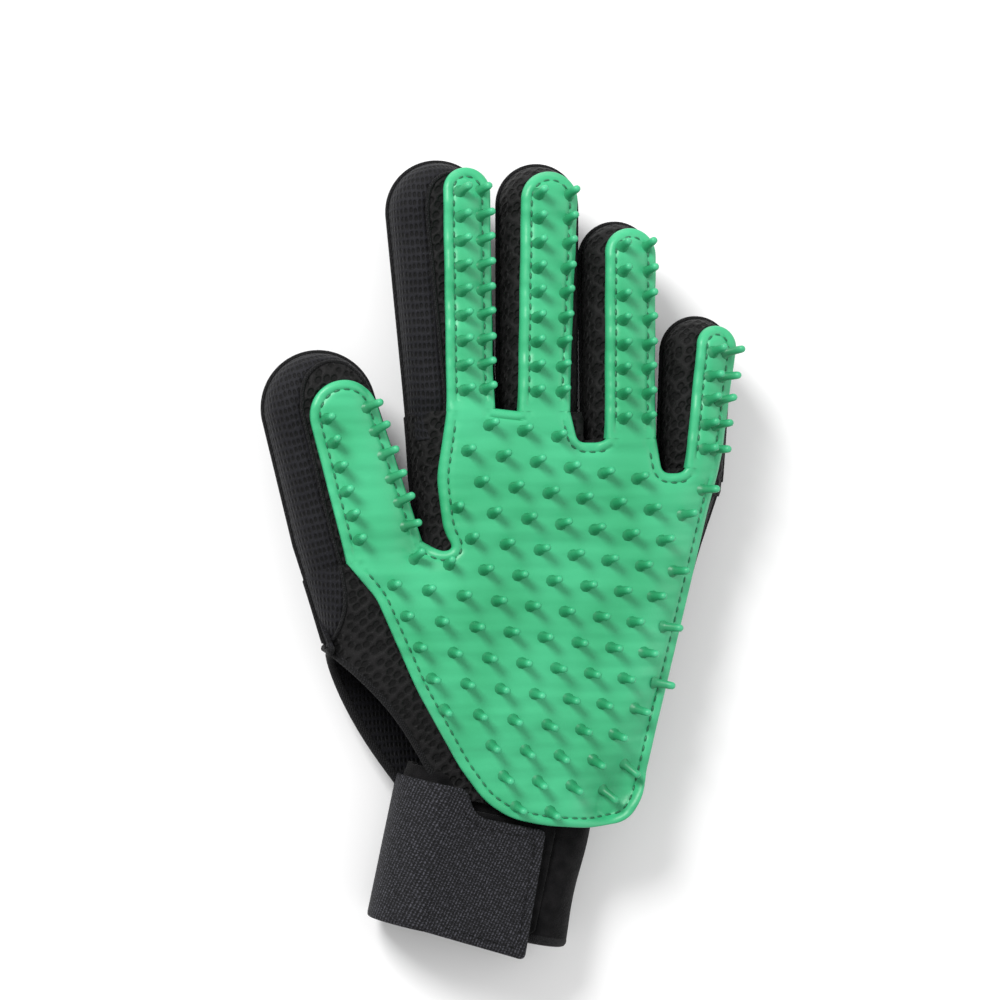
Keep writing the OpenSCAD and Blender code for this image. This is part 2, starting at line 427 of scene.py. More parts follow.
def grid_faces(rows: int, cols: int, round_cols: bool) -> list:
    """Quads of a grid of rows by cols, which closes on itself across the columns if asked.

    Args:
        rows: points down the grid.
        cols: points across it.
        round_cols: True to join the last column to the first.

    Returns:
        Four vertex indices for each face.
    """
    r, c = np.meshgrid(np.arange(rows - 1), np.arange(cols if round_cols else cols - 1),
                       indexing="ij")
    d = (c + 1) % cols
    quads = np.stack([r * cols + c, r * cols + d, (r + 1) * cols + d, (r + 1) * cols + c], -1)
    return quads.reshape(-1, 4).tolist()


def placed(name: str, data: bpy.types.ID) -> Object:
    """An object with the given data, in the scene's collection.

    Args:
        name: the object's name.
        data: its mesh, light or camera.

    Returns:
        The object.
    """
    obj = bpy.data.objects.new(name, data)
    bpy.context.scene.collection.objects.link(obj)
    return obj


def make(name: str, verts: Array, faces: list, material: Material,
         cloth: Array | None = None) -> Object:
    """A smooth mesh object from millimetre vertices, with its place in its mesh.

    Args:
        name: the piece's name.
        verts: (n, 3) vertices.
        faces: vertex indices of each face.
        material: its finish.
        cloth: (n, 3) millimetre coordinates that the weave follows, or None for the plain place.

    Returns:
        The object.
    """
    mesh = bpy.data.meshes.new(name)
    mesh.from_pydata((np.asarray(verts) * MM).tolist(), [], faces)
    follow = mesh.attributes.new("cloth_place", "FLOAT_VECTOR", "POINT")
    place = np.asarray(verts if cloth is None else cloth) * MM
    follow.data.foreach_set("vector", place.astype(np.float32).ravel())
    mesh.polygons.foreach_set("use_smooth", [True] * len(mesh.polygons))
    mesh.materials.append(material)
    mesh.update()
    return placed(name, mesh)


def thicken(obj: Object, amount: float) -> None:
    """Gives a sheet a wall on its inner side with Solidify.

    Args:
        obj: the sheet.
        amount: the wall in millimetres.
    """
    wall = obj.modifiers.new("wall", "SOLIDIFY")
    wall.thickness = amount * MM
    wall.offset = -1.0
    wall.use_even_offset = False


def clean(obj: Object) -> None:
    """Merges points that coincide and drops loose ones, before a wall gets its thickness.

    Args:
        obj: the sheet.
    """
    work = bmesh.new()
    work.from_mesh(obj.data)
    bmesh.ops.remove_doubles(work, verts=work.verts, dist=0.02 * MM)
    bmesh.ops.delete(work, geom=[v for v in work.verts if not v.link_faces], context="VERTS")
    work.to_mesh(obj.data)
    work.free()


def bake(obj: Object) -> None:
    """Applies the object's modifiers, so that its mesh is final before it bends.

    Args:
        obj: the piece.
    """
    graph = bpy.context.evaluated_depsgraph_get()
    mesh = bpy.data.meshes.new_from_object(obj.evaluated_get(graph))
    old = obj.data
    obj.modifiers.clear()
    obj.data = mesh
    mesh.name = obj.name
    bpy.data.meshes.remove(old)


def joined(parts: list[Shape]) -> Shape:
    """Several vertex and face sets as one.

    Args:
        parts: vertices and faces of each set.

    Returns:
        Vertices and faces.
    """
    verts, faces, base = [], [], 0
    for v, f in parts:
        verts.append(v)
        faces += [[i + base for i in face] for face in f]
        base += len(v)
    return np.vstack(verts), faces


def frames_of(normal: Array) -> tuple[Array, Array]:
    """Two unit vectors across each given unit normal.

    Args:
        normal: (n, 3) unit vectors.

    Returns:
        Two (n, 3) arrays.
    """
    helper = np.where(np.abs(normal[:, :1]) < 0.8, [[1.0, 0, 0]], [[0, 1.0, 0]])
    a = np.cross(normal, helper)
    a /= np.linalg.norm(a, axis=1, keepdims=True)
    return a, np.cross(normal, a)


def turned_shapes(base: Array, axis: Array, radius: Array, height: Array, sides: int) -> Shape:
    """Copies of one turned profile that stand at many places.

    A ring of each copy has radius r about its axis at height h; the last ring closes in a pole.

    Args:
        base: (n, 3) feet.
        axis: (n, 3) unit directions.
        radius: (k,) ring radii.
        height: (k,) ring heights, the last being the pole's.
        sides: points in a ring.

    Returns:
        Vertices and faces.
    """
    n, k = len(base), len(radius) - 1
    a, b = frames_of(axis)
    phi = np.linspace(0, 2 * np.pi, sides, endpoint=False)
    across = np.cos(phi)[None, :, None] * a[:, None] + np.sin(phi)[None, :, None] * b[:, None]
    rings = (base[:, None, None] + axis[:, None, None] * height[None, :k, None, None]
             + across[:, None] * radius[None, :k, None, None])
    pole = base + axis * height[-1]
    verts = np.concatenate([rings.reshape(n, -1, 3), pole[:, None]], 1)
    quads = np.array(grid_faces(k, sides, True))
    per = k * sides + 1
    ring = np.arange(sides)
    cap = np.stack([(k - 1) * sides + ring, (k - 1) * sides + (ring + 1) % sides,
                    np.full(sides, per - 1)], 1)
    foot = np.arange(sides)[::-1]
    faces = []
    for i in range(n):
        faces += (quads + i * per).tolist() + (cap + i * per).tolist() + [(foot + i * per).tolist()]
    return verts.reshape(-1, 3), faces


def stitch_row(path: Array, normal: Array, gap: float, length: float, thick: float) -> Shape:
    """Short thread capsules that follow a path.

    Each stitch is a six-sided tube of four rings between two places on the path, swollen in its
    middle and sunk at its ends.

    Args:
        path: (n, 3) dense points.
        normal: (n, 3) surface normals.
        gap: distance between the starts of two stitches.
        length: length of one stitch.
        thick: radius of the thread.

    Returns:
        Vertices and faces.
    """
    run = run_along(path)
    starts = np.arange(gap / 2, run[-1] - length, gap)
    along = np.array([0, 0.25, 0.75, 1.0])
    swell = np.array([0.45, 1, 1, 0.45])
    lift = np.array([-0.5, 0.35, 0.35, -0.5])
    s = starts[:, None] + along[None] * length
    pos = np.stack([np.interp(s, run, path[:, i]) for i in range(3)], -1)
    nor = np.stack([np.interp(s, run, normal[:, i]) for i in range(3)], -1)
    nor /= np.maximum(np.linalg.norm(nor, axis=2, keepdims=True), 1e-9)
    way = pos[:, -1:] - pos[:, :1]
    way = way / np.maximum(np.linalg.norm(way, axis=2, keepdims=True), 1e-9)
    side = np.cross(nor, np.broadcast_to(way, nor.shape))
    phi = np.linspace(0, 2 * np.pi, 6, endpoint=False)
    ring = (np.cos(phi)[None, None, :, None] * side[:, :, None]
            + np.sin(phi)[None, None, :, None] * nor[:, :, None])
    verts = (pos[:, :, None] + nor[:, :, None] * (lift * thick)[None, :, None, None]
             + ring * (swell * thick)[None, :, None, None])
    quads = np.array(grid_faces(4, 6, True))
    ends = [[5, 4, 3, 2, 1, 0], [18, 19, 20, 21, 22, 23]]
    faces = []
    for i in range(len(starts)):
        faces += (quads + 24 * i).tolist() + [[j + 24 * i for j in e] for e in ends]
    return verts.reshape(-1, 3), faces


# ---------------------------------------------------------------- finishes


MIX_INPUTS = (0, 6, 7)  # a Mix node's sockets for its factor and its two colours
MIX_RESULT = 2


class Nodes:
    """Builds one material's node tree."""

    def __init__(self, name: str) -> None:
        """Starts a material with a Principled shader.

        Args:
            name: the material's name.
        """
        self.material = bpy.data.materials.new(name)
        self.material.use_nodes = True
        self.tree = self.material.node_tree
        self.shader = self.tree.nodes["Principled BSDF"]
        self.place = self.add("ShaderNodeTexCoord").outputs["Object"]

    def follow_cloth(self) -> None:
        """Takes every pattern from the piece's own cloth coordinates."""
        source = self.tree.nodes.new("ShaderNodeAttribute")
        source.attribute_name = "cloth_place"
        self.place = source.outputs["Vector"]

    def add(self, kind: str, **sockets: object) -> bpy.types.Node:
        """A node of that kind, with attributes and input values set by name.

        Args:
            kind: the node's type.
            sockets: its attributes and inputs, with underscores for spaces.

        Returns:
            The node.
        """
        node = self.tree.nodes.new(kind)
        for key, value in sockets.items():
            if hasattr(node, key):
                setattr(node, key, value)
            else:
                self.feed(node, key.replace("_", " "), value)
        return node

    def feed(self, node: bpy.types.Node, socket: str, value: object) -> None:
        """Sets an input, or links a socket to it.

        Args:
            node: the node.
            socket: its input's name.
            value: a number, a colour or another node's output.
        """
        match = [s for s in node.inputs if s.name.lower() == socket.lower() and s.enabled]
        if isinstance(value, Socket):
            self.tree.links.new(value, match[0])
        else:
            match[0].default_value = value

    def group(self, tree: Tree, **sockets: object) -> bpy.types.Node:
        """Places a shared node group and sets its inputs.

        Args:
            tree: the node group.
            sockets: the value of each of its inputs.

        Returns:
            The group's node.
        """
        node = self.tree.nodes.new("ShaderNodeGroup")
        node.node_tree = tree
        self.tree.links.new(self.place, node.inputs["Place"])
        for key, value in sockets.items():
            node.inputs[key].default_value = value
        return node

    def mix(self, blend: str, factor: object, first: object, second: object) -> Socket:
        """A colour Mix node over sockets or values.

        Args:
            blend: how the colours mix.
            factor: share of the second.
            first: a colour.
            second: another.

        Returns:
            The mixed colour.
        """
        node = self.add("ShaderNodeMix", data_type="RGBA", blend_type=blend)
        for at, value in zip(MIX_INPUTS, (factor, first, second)):
            if isinstance(value, Socket):
                self.tree.links.new(value, node.inputs[at])
            else:
                node.inputs[at].default_value = value
        return node.outputs[MIX_RESULT]

    def ramp(self, factor: Socket, stops: list[tuple[float, tuple]]) -> Socket:
        """A colour ramp over a factor.

        Args:
            factor: the output that picks the colour.
            stops: place and colour of each stop, in order.

        Returns:
            The colour.
        """
        node = self.tree.nodes.new("ShaderNodeValToRGB")
        band = node.color_ramp.elements
        while len(band) < len(stops):
            band.new(0.5)
        for element, (at, colour) in zip(band, stops):
            element.position = at
            element.color = (*colour, 1)
        self.tree.links.new(factor, node.inputs["Fac"])
        return node.outputs["Color"]

    def bump(self, height: Socket, strength: float, distance: float,
             under: Socket | None = None) -> Socket:
        """A bump whose distance is in millimetres, on top of another if given.

        Args:
            height: the height.
            strength: share of the effect.
            distance: depth in millimetres.
            under: the normal of the bump below, if any.

        Returns:
            The normal.
        """
        node = self.tree.nodes.new("ShaderNodeBump")
        node.inputs["Strength"].default_value = strength
        node.inputs["Distance"].default_value = distance * MM
        self.tree.links.new(height, node.inputs["Height"])
        if under is not None:
            self.tree.links.new(under, node.inputs["Normal"])
        return node.outputs["Normal"]

    def finish(self, **sockets: object) -> Material:
        """Sets the shader's inputs and returns the material.

        Args:
            sockets: the shader's inputs, with underscores for spaces.

        Returns:
            The material.
        """
        for key, value in sockets.items():
            self.feed(self.shader, key.replace("_", " "), value)
        return self.material


def new_group(name: str, inputs: dict[str, float], outputs: tuple[str, ...]) -> tuple:
    """An empty node group with a Place input, number inputs and number outputs.

    Args:
        name: the group's name.
        inputs: default of each number input.
        outputs: names of the number outputs.

    Returns:
        The tree, its input node and its output node.
    """
    tree = bpy.data.node_groups.new(name, "ShaderNodeTree")
    tree.interface.new_socket("Place", in_out="INPUT", socket_type="NodeSocketVector")
    for key, value in inputs.items():
        socket = tree.interface.new_socket(key, in_out="INPUT", socket_type="NodeSocketFloat")
        socket.default_value = value
    for key in outputs:
        tree.interface.new_socket(key, in_out="OUTPUT", socket_type="NodeSocketFloat")
    return tree, tree.nodes.new("NodeGroupInput"), tree.nodes.new("NodeGroupOutput")


def math_node(tree: Tree, operation: str, a: object, b: object = 0.0) -> Socket:
    """A Math node over two sockets or numbers.

    Args:
        tree: the tree that it goes in.
        operation: what it works out.
        a: first output or number.
        b: second output or number.

    Returns:
        The result.
    """
    node = tree.nodes.new("ShaderNodeMath")
    node.operation = operation
    for i, value in enumerate((a, b)):
        if isinstance(value, Socket):
            tree.links.new(value, node.inputs[i])
        else:
            node.inputs[i].default_value = value
    return node.outputs[0]


def cell_group() -> Tree:
    """Knitted openings: a wandering grid of round cells.

    Distance is 0 at a cell's middle and about 0.6 between cells.

    Returns:
        The node group.
    """
    inputs = {"Scale": 400.0, "Stretch": 1.0, "Turn": 0.0, "Wander": 0.3}
    tree, given, out = new_group("fabric cells", inputs, ("Distance",))
    turn = tree.nodes.new("ShaderNodeVectorRotate")
    turn.rotation_type = "Z_AXIS"
    tree.links.new(given.outputs["Place"], turn.inputs["Vector"])
    tree.links.new(given.outputs["Turn"], turn.inputs["Angle"])
    parts = tree.nodes.new("ShaderNodeSeparateXYZ")
    place = tree.nodes.new("ShaderNodeCombineXYZ")
    tree.links.new(turn.outputs[0], parts.inputs[0])
    tree.links.new(parts.outputs[0], place.inputs[0])
    tree.links.new(math_node(tree, "MULTIPLY", parts.outputs[1], given.outputs["Stretch"]),
                   place.inputs[1])
    cells = tree.nodes.new("ShaderNodeTexVoronoi")
    cells.voronoi_dimensions = "2D"
    tree.links.new(given.outputs["Wander"], cells.inputs["Randomness"])
    tree.links.new(place.outputs[0], cells.inputs["Vector"])
    tree.links.new(given.outputs["Scale"], cells.inputs["Scale"])
    tree.links.new(cells.outputs["Distance"], out.inputs["Distance"])
    return tree


def grain_group() -> Tree:
    """Two sizes of noise: fine grain and broad patches.

    Returns:
        The node group.
    """
    tree, given, out = new_group("grain", {"Scale": 900.0, "Broad": 60.0}, ("Fine", "Patch"))
    for source, target, detail in (("Scale", "Fine", 4.0), ("Broad", "Patch", 2.0)):
        noise = tree.nodes.new("ShaderNodeTexNoise")
        noise.inputs["Detail"].default_value = detail
        tree.links.new(given.outputs["Place"], noise.inputs["Vector"])
        tree.links.new(given.outputs[source], noise.inputs["Scale"])
        tree.links.new(noise.outputs["Fac"], out.inputs[target])
    return tree


def weave_group() -> Tree:
    """A diagonal weave: the product of two crossed waves, with uneven threads.

    Returns:
        The node group.
    """
    tree, given, out = new_group("weave", {"Scale": 500.0, "Slant": 0.6}, ("Thread",))
    parts = tree.nodes.new("ShaderNodeSeparateXYZ")
    tree.links.new(given.outputs["Place"], parts.inputs[0])
    slanted = math_node(tree, "MULTIPLY", parts.outputs[1], given.outputs["Slant"])
    u = math_node(tree, "ADD", parts.outputs[0], slanted)
    depth = math_node(tree, "ADD", parts.outputs[1], parts.outputs[2])
    v = math_node(tree, "SUBTRACT", depth,
                  math_node(tree, "MULTIPLY", parts.outputs[0], given.outputs["Slant"]))
    noise = tree.nodes.new("ShaderNodeTexNoise")
    noise.inputs["Scale"].default_value = 900
    tree.links.new(given.outputs["Place"], noise.inputs["Vector"])
    wobble = math_node(tree, "MULTIPLY", noise.outputs["Fac"], 1.4)
    waves = []
    for axis in (u, v):
        phase = math_node(tree, "ADD", math_node(tree, "MULTIPLY", axis, given.outputs["Scale"]),
                          wobble)
        waves.append(math_node(tree, "SINE", math_node(tree, "MULTIPLY", phase, 2 * math.pi)))
    product = math_node(tree, "MULTIPLY", *waves)
    tree.links.new(math_node(tree, "MULTIPLY_ADD", product, 0.5), out.inputs["Thread"])
    return tree


@dataclass(frozen=True)
class Finishes:
    """Every material of the glove."""

    rubber: Material
    thread: Material
    mesh: Material
    knit: Material
    strap: Material
    pile: Material
    tape: Material
    hooks: Material


def green_rubber(name: str, grain: Tree, tint: float, pins: bool = False) -> Material:
    """Soft satin moulded rubber with cloudy patches and a fine moulded grain.

    Args:
        name: the material's name.
        grain: the grain group.
        tint: brightness of the green.
        pins: True where the cloth coordinate holds the height up a pin, for painted pin shade and
            tip highlight.

    Returns:
        The material.
    """
    n = Nodes(name)
    g = n.group(grain, Scale=1400.0, Broad=38.0)
    r = n.add("ShaderNodeMapping")
    n.tree.links.new(n.place, r.inputs["Vector"])
    r.inputs["Rotation"].default_value = (0, 0, math.radians(-20))
    r.inputs["Scale"].default_value = (0.12, 1.0, 0.3)
    ridge = n.add("ShaderNodeTexNoise", Scale=150.0, Detail=1.0)
    n.tree.links.new(r.outputs[0], ridge.inputs["Vector"])
    low = (0.030 * tint, 0.355 * tint, 0.150 * tint)
    high = (0.052 * tint, 0.455 * tint, 0.215 * tint)
    colour = n.ramp(g.outputs["Patch"], [(0.3, low), (0.7, high)])
    # painted shade on each pin's body, darkest just above its foot, and a painted highlight at its
    # tip
    if pins:
        place = n.tree.nodes.new("ShaderNodeAttribute")
        place.attribute_name = "cloth_place"
        height = n.add("ShaderNodeSeparateXYZ", Vector=place.outputs["Vector"])
        share = n.add("ShaderNodeMapRange", Value=height.outputs["X"], From_Max=6.4 * MM)
        pin_shade_and_highlight = n.ramp(share.outputs[0], [(0.0, (1, 1, 1)), (0.03, (0.42, 0.55, 0.5)),
                                           (0.6, (0.5, 0.66, 0.6)), (1.0, (1.15, 1.05, 1.1))])
        colour = n.mix("MULTIPLY", 1.0, colour, pin_shade_and_highlight)
    rough = n.add("ShaderNodeMapRange", Value=g.outputs["Fine"], To_Min=0.34, To_Max=0.5)
    return n.finish(Base_Color=colour, Roughness=rough.outputs[0], IOR=1.46,
                    Normal=n.bump(g.outputs["Fine"], 0.16, 0.2,
                                  n.bump(ridge.outputs[0], 0.55, 3.0)))


def fabric(name: str, cells: Tree, grain: Tree, cell: tuple[float, float, float, float],
           open_to: float, thread: tuple, hole: tuple, depth: float) -> Material:
    """Knitted or mesh fabric: openings with painted shade between threads with painted highlights
    and glints.

    Args:
        name: the material's name.
        cells: the cell group.
        grain: the grain group.
        cell: cells per metre, stretch along the cloth, turn in degrees and wander.
        open_to: distance from a cell's middle at which the threads begin.
        thread: thread colour.
        hole: colour inside the openings, painted shade over the dark cloth behind.
        depth: depth of the openings in millimetres.

    Returns:
        The material.
    """
    n = Nodes(name)
    n.follow_cloth()
    c = n.group(cells, Scale=cell[0], Stretch=cell[1], Turn=math.radians(cell[2]), Wander=cell[3])
    g = n.group(grain, Scale=3000.0, Broad=70.0)
    # painted highlight: threads lighten to 1.7 times their colour along their middles
    painted_crest_highlight = tuple(1.7 * v for v in thread)
    # painted shade: the openings take the hole colour, far darker than the threads
    colour = n.ramp(c.outputs["Distance"],
                    [(0.0, hole), (open_to, hole), (open_to + 0.12, thread), (0.75, painted_crest_highlight)])
    # painted glints: specks of fine noise lifted to five times the thread colour
    catch = n.ramp(g.outputs["Fine"], [(0.57, (0, 0, 0)), (0.68, (0.8, 0.8, 0.8))])
    glint = n.mix("MIX", catch, colour, (*[5.0 * v for v in thread], 1))
    # painted shade round the lips of the openings, multiplied into the colour
    rim = n.ramp(c.outputs["Distance"], [(open_to, (0.25, 0.25, 0.25)), (open_to + 0.1, (1, 1, 1))])
    raised = n.ramp(c.outputs["Distance"], [(open_to - 0.06, (0, 0, 0)),
                                            (open_to + 0.14, (0.8, 0.8, 0.8)), (0.75, (1, 1, 1))])
    first = n.bump(raised, 0.9, depth)
    skin = n.mix("MULTIPLY", 1.0, glint, rim)
    return n.finish(Base_Color=skin, Roughness=0.7, Specular_IOR_Level=0.2,
                    Sheen_Weight=0.03, Sheen_Roughness=0.5,
                    Normal=n.bump(g.outputs["Fine"], 0.5, 0.15, first))


def webbing(name: str, weave: Tree, grain: Tree, scale: float,
            low: tuple, high: tuple) -> Material:
    """Woven elastic with a slanted weave and pale flecks.

    Args:
        name: the material's name.
        weave: the weave group.
        grain: the grain group.
        scale: threads per metre.
        low: colour between the threads.
        high: colour on them.

    Returns:
        The material.
    """
    n = Nodes(name)
    n.follow_cloth()
    w = n.group(weave, Scale=scale)
    g = n.group(grain, Scale=2600.0, Broad=70.0)
    shade = math_node(n.tree, "ADD", w.outputs["Thread"], g.outputs["Fine"])
    spread = math_node(n.tree, "MULTIPLY", shade, 0.62)
    colour = n.ramp(spread, [(0.45, low), (0.72, high), (0.95, tuple(4.5 * v for v in high))])
    first = n.bump(w.outputs["Thread"], 0.8, 0.4)
    return n.finish(Base_Color=colour, Roughness=0.75, Sheen_Weight=0.02, Specular_IOR_Level=0.2,
                    Normal=n.bump(g.outputs["Fine"], 0.4, 0.15, first))


def make_finishes() -> Finishes:
    """Builds the shared groups and every finish.

    Returns:
        Every finish.
    """
    cells, grain, weave = cell_group(), grain_group(), weave_group()
    pile = Nodes("loop_pile")
    g = pile.group(grain, Scale=2200.0, Broad=240.0)
    colour = pile.ramp(g.outputs["Patch"],
                       [(0.35, (0.0035, 0.0035, 0.0038)), (0.75, (0.010, 0.0095, 0.010))])
    velvet = pile.finish(Base_Color=colour, Roughness=0.95, Sheen_Weight=0.08, Sheen_Roughness=0.35,
                         Specular_IOR_Level=0.1, Normal=pile.bump(g.outputs["Fine"], 0.8, 0.5))
    return Finishes(
        rubber=green_rubber("green_rubber", grain, 1.0, True),
        thread=green_rubber("green_thread", grain, 0.34),
        mesh=fabric("mesh_fabric", cells, grain, (430.0, 0.72, 45.0, 0.7), 0.3,
                    (0.0042, 0.0040, 0.0041), (0.0003, 0.0003, 0.0003), 1.0),
        knit=fabric("back_knit", cells, grain, (700.0, 0.6, 0.0, 0.2), 0.26,
                    (0.0048, 0.0048, 0.0064), (0.0014, 0.0014, 0.0019), 0.4),
        strap=webbing("strap_webbing", weave, grain, 640.0, (0.0028, 0.0028, 0.0034),
                      (0.0150, 0.0150, 0.0180)),
        pile=velvet,
        tape=webbing("binding_tape", weave, grain, 900.0, (0.002, 0.002, 0.0022),
                     (0.0045, 0.0045, 0.0050)),
        hooks=webbing("hook_nylon", weave, grain, 700.0, (0.004, 0.004, 0.004), (0.02, 0.02, 0.02)),
    )


# ---------------------------------------------------------------- pockets


@dataclass
class Stall:
    """One finger's own axes, taken from its joint: origin on the hinge line, +y to the tip."""

    name: str

    def __post_init__(self) -> None:
        """Reads the hinge and the stall's plan from the frame."""
        joint = next(j for j in frame["joints"] if j["child"] == self.name)
        self.pos = 1000 * np.array(joint["pos_m"][:2])
        self.x_axis = np.array(joint["axis"][:2]) / np.linalg.norm(joint["axis"][:2])
        self.y_axis = np.array([-self.x_axis[1], self.x_axis[0]])
        self.plan = self.local(node_plan(f"{self.name}_mesh", TOP_Z))
        self.strip = self.local(node_plan(f"{self.name}_rubber", TOP_Z))
        self.start = self.plan[:, 1].min()
        self.half = self.plan[np.abs(self.plan[:, 1] - self.start) < 0.01][:, 0].max()

    def local(self, points: Array) -> Array:
        """Plan points in the finger's own axes."""
        rel = np.asarray(points)[:, :2] - self.pos
        return np.stack([rel @ self.x_axis, rel @ self.y_axis], 1)

    def world(self, points: Array) -> Array:
        """Plan points back in the row frame, in millimetres."""
        return self.pos + points[:, :1] * self.x_axis + points[:, 1:2] * self.y_axis

    def blend(self, obj: Object) -> None:
        """Bakes a piece's transform into its mesh; the ends of its bend are worked out but not
        used.

        Args:
            obj: the piece.
        """
        ends = self.world(np.array([[0, BEND[0]], [0, BEND[1]]])) * MM
        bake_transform(obj)


class Glove:
    """Heights of the fabric and of the rubber plate over the whole plan."""

    palm_round = 17.0
    finger_round = 9.5
    wrist_tuck = 6.0
    wrist_drop = 4.0
    wrist_reach = 22.0
    slot_round = 5.0
    side_z, side_rise, root_reach = 15.0, 5.0, 30.0
    down_arm = (-0.208, -0.978)
    vent_corner = (-52.5, -26.0)
    # rubber lies over fabric as if no nearer than this to the fabric's side, at this height above
    palm_least, finger_least, plate_rise = 3.2, 2.6, 2.15

    def __init__(self) -> None:
        """Reads every plan from the frame and finds the sewn sides of the hand pocket."""
        self.stalls = {name: Stall(name) for name in FINGERS}
        self.back = node_plan("back_panel", 0)
        self.palm = node_plan("palm_mesh", TOP_Z)
        a, b = self.back, np.roll(self.back, -1, 0)
        middle = (a + b) / 2
        sewn = np.zeros(len(a), bool)
        for node in ("little_side_gusset", "web_gusset", "thumb_base_gusset"):
            loop = node_plan(node, 1000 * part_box(node)[0].z)
            near = (loop_distance(middle, loop) < 0.2) & (loop_distance(a, loop) < 0.2)
            sewn |= near & (loop_distance(b, loop) < 0.2)
        self.sewn = (a[sewn], b[sewn])
        root = np.zeros(len(a), bool)
        for stall in self.stalls.values():
            x, y = stall.local(middle).T
            root |= (np.abs(y - ROOT_Y) < 1.6) & (np.abs(x) < stall.half + 6)
        root &= ~sewn
        self.roots = (a[root], b[root])
        slot = ~sewn & ~root & (middle[:, 1] > 15)
        self.slots = (a[slot], b[slot])
        wrist = ~sewn & (middle[:, 1] < -55) & (middle[:, 0] > -20)
        self.wrist = (a[wrist], b[wrist])
        vent_top = self.back[np.argmin(np.linalg.norm(self.back - self.vent_corner, axis=1))]
        self.palm[np.argmin(np.linalg.norm(self.palm - vent_top, axis=1))] = vent_top
        for loop in (self.back, self.palm):
            end = segment_distance(loop, *self.wrist) < 3
            loop[end] += self.wrist_tuck * np.array(self.down_arm)
        self.back, self.vent_back = self.vent(self.back, -2.0)
        self.palm, self.vent_palm = self.vent(self.palm, 3.4)

    def vent(self, loop: Array, bow: float) -> tuple[Array, tuple[Array, Array]]:
        """Bows the long edge of a panel at the side vent, low on the thumb's side.

        The edge's points move by bow sin(pi t) along its inward normal.

        Args:
            loop: the panel's outline.
            bow: the move at the middle of the edge, inwards if positive.

        Returns:
            The new outline, and the starts and ends of the bowed edge's stretches.
        """
        a, b = loop, np.roll(loop, -1, 0)
        middle, length = (a + b) / 2, np.linalg.norm(b - a, axis=1)
        best = int(np.argmax(length - 100 * (middle[:, 0] > -20)))
        t = np.linspace(0, 1, 13)[:, None]
        way = (b[best] - a[best]) / length[best]
        push = bow * np.sin(np.pi * t) * np.array([-way[1], way[0]])
        edge = a[best] + (b[best] - a[best]) * t + push
        bowed = np.vstack([loop[:best], edge, loop[best + 2:]] if best + 1 < len(loop)
                          else [edge, loop[1:best]])
        return bowed, (edge[:-1], edge[1:])

    def rise(self, p: Array) -> Array:
        """1 at the finger roots, 0 from 30 mm behind them."""
        return smooth(1 - segment_distance(p, *self.roots) / self.root_reach)

    def palm_mid(self, p: Array) -> Array:
        """Height of the side seam of the hand pocket."""
        return self.side_z + self.side_rise * self.rise(p)

    def palm_top(self, p: Array, least: float = 0.0) -> Array:
        """Height of the palm panel, rounded towards the sewn sides.

        Args:
            p: (n, 2) places.
            least: the least distance from a sewn side that counts.

        Returns:
            (n,) heights.
        """
        d = np.maximum(segment_distance(p, *self.sewn), least)
        mid = self.palm_mid(p)
        vent = 3.0 * np.clip(1 - segment_distance(p, *self.vent_palm) / 16, 0, 1) ** 2
        wave = 0.3 * np.sin(p[:, 0] * 0.16 + 0.6) * np.sin(p[:, 1] * 0.11)
        drop = self.wrist_drop * smooth(1 - segment_distance(p, *self.wrist) / self.wrist_reach)
        slot = dome(np.maximum(segment_distance(p, *self.slots), least) / self.slot_round)
        return mid + (TOP_Z - 0.4 - mid) * dome(d / self.palm_round) * slot - vent + wave - drop

    def palm_low(self, p: Array) -> Array:
        """Height of the back panel: flat on the table, curling up at the sides, vent and knuckles.

        Args:
            p: (n, 2) places.

        Returns:
            (n,) heights.
        """
        d = segment_distance(p, *self.sewn)
        mid = self.palm_mid(p)
        low = 9.6 * self.rise(p) + 0.9
        vent = 9.0 * np.clip(1 - segment_distance(p, *self.vent_back) / 18, 0, 1) ** 2
        slot = dome(segment_distance(p, *self.slots) / self.slot_round)
        return mid - (mid - low) * dome(d / self.palm_round) * slot + vent

    def stall_top(self, stall: Stall, q: Array, least: float = 0.0) -> Array:
        """Height of a finger's palm side over its own axes, rounded towards its outline.

        Args:
            stall: the finger.
            q: (n, 2) places in its own axes.
            least: the least distance from its side that counts.

        Returns:
            (n,) heights.
        """
        d = np.maximum(self.stall_distance(stall, q), least)
        full = TOP_Z - FINGER_MID_Z - 0.4 - 1.6 * smooth(-(q[:, 1] - 3) / 8)
        sag = 0.25 * np.sin(q[:, 1] * 0.33 + stall.half) * np.clip(q[:, 1] / 20, 0, 1)
        return FINGER_MID_Z + full * dome(d / self.finger_round) + sag

    def stall_low(self, stall: Stall, q: Array) -> Array:
        """Height of a finger's back."""
        full = FINGER_MID_Z - FINGER_LOW_Z - 0.3 - 1.0 * smooth(-(q[:, 1] - 3) / 8)
        return FINGER_MID_Z - full * dome(self.stall_distance(stall, q) / self.finger_round)

    def stall_distance(self, stall: Stall, q: Array) -> Array:
        """Distance to a stall's closed side, which runs from its root round its tip."""
        line = self.stall_side(stall)
        return segment_distance(q, line[:-1], line[1:])

    def stall_side(self, stall: Stall) -> Array:
        """A stall's closed side as an open line, with its root carried back into the hand.

        Args:
            stall: the finger.

        Returns:
            (n, 2) points in its own axes, from the right of its root round its tip.
        """
        loop = stall.plan
        keep = loop[loop[:, 1] > stall.start + 0.5]
        first = int(np.argmax(np.linalg.norm(keep - np.roll(keep, 1, 0), axis=1)))
        arc = np.roll(keep, -first, 0)
        head = np.array([[stall.half * 0.96, -11], [stall.half * 0.985, -2],
                         [stall.half, stall.start]])
        if arc[0, 0] < 0:
            arc = arc[::-1]
        return np.vstack([head, arc, head[::-1] * [-1, 1]])

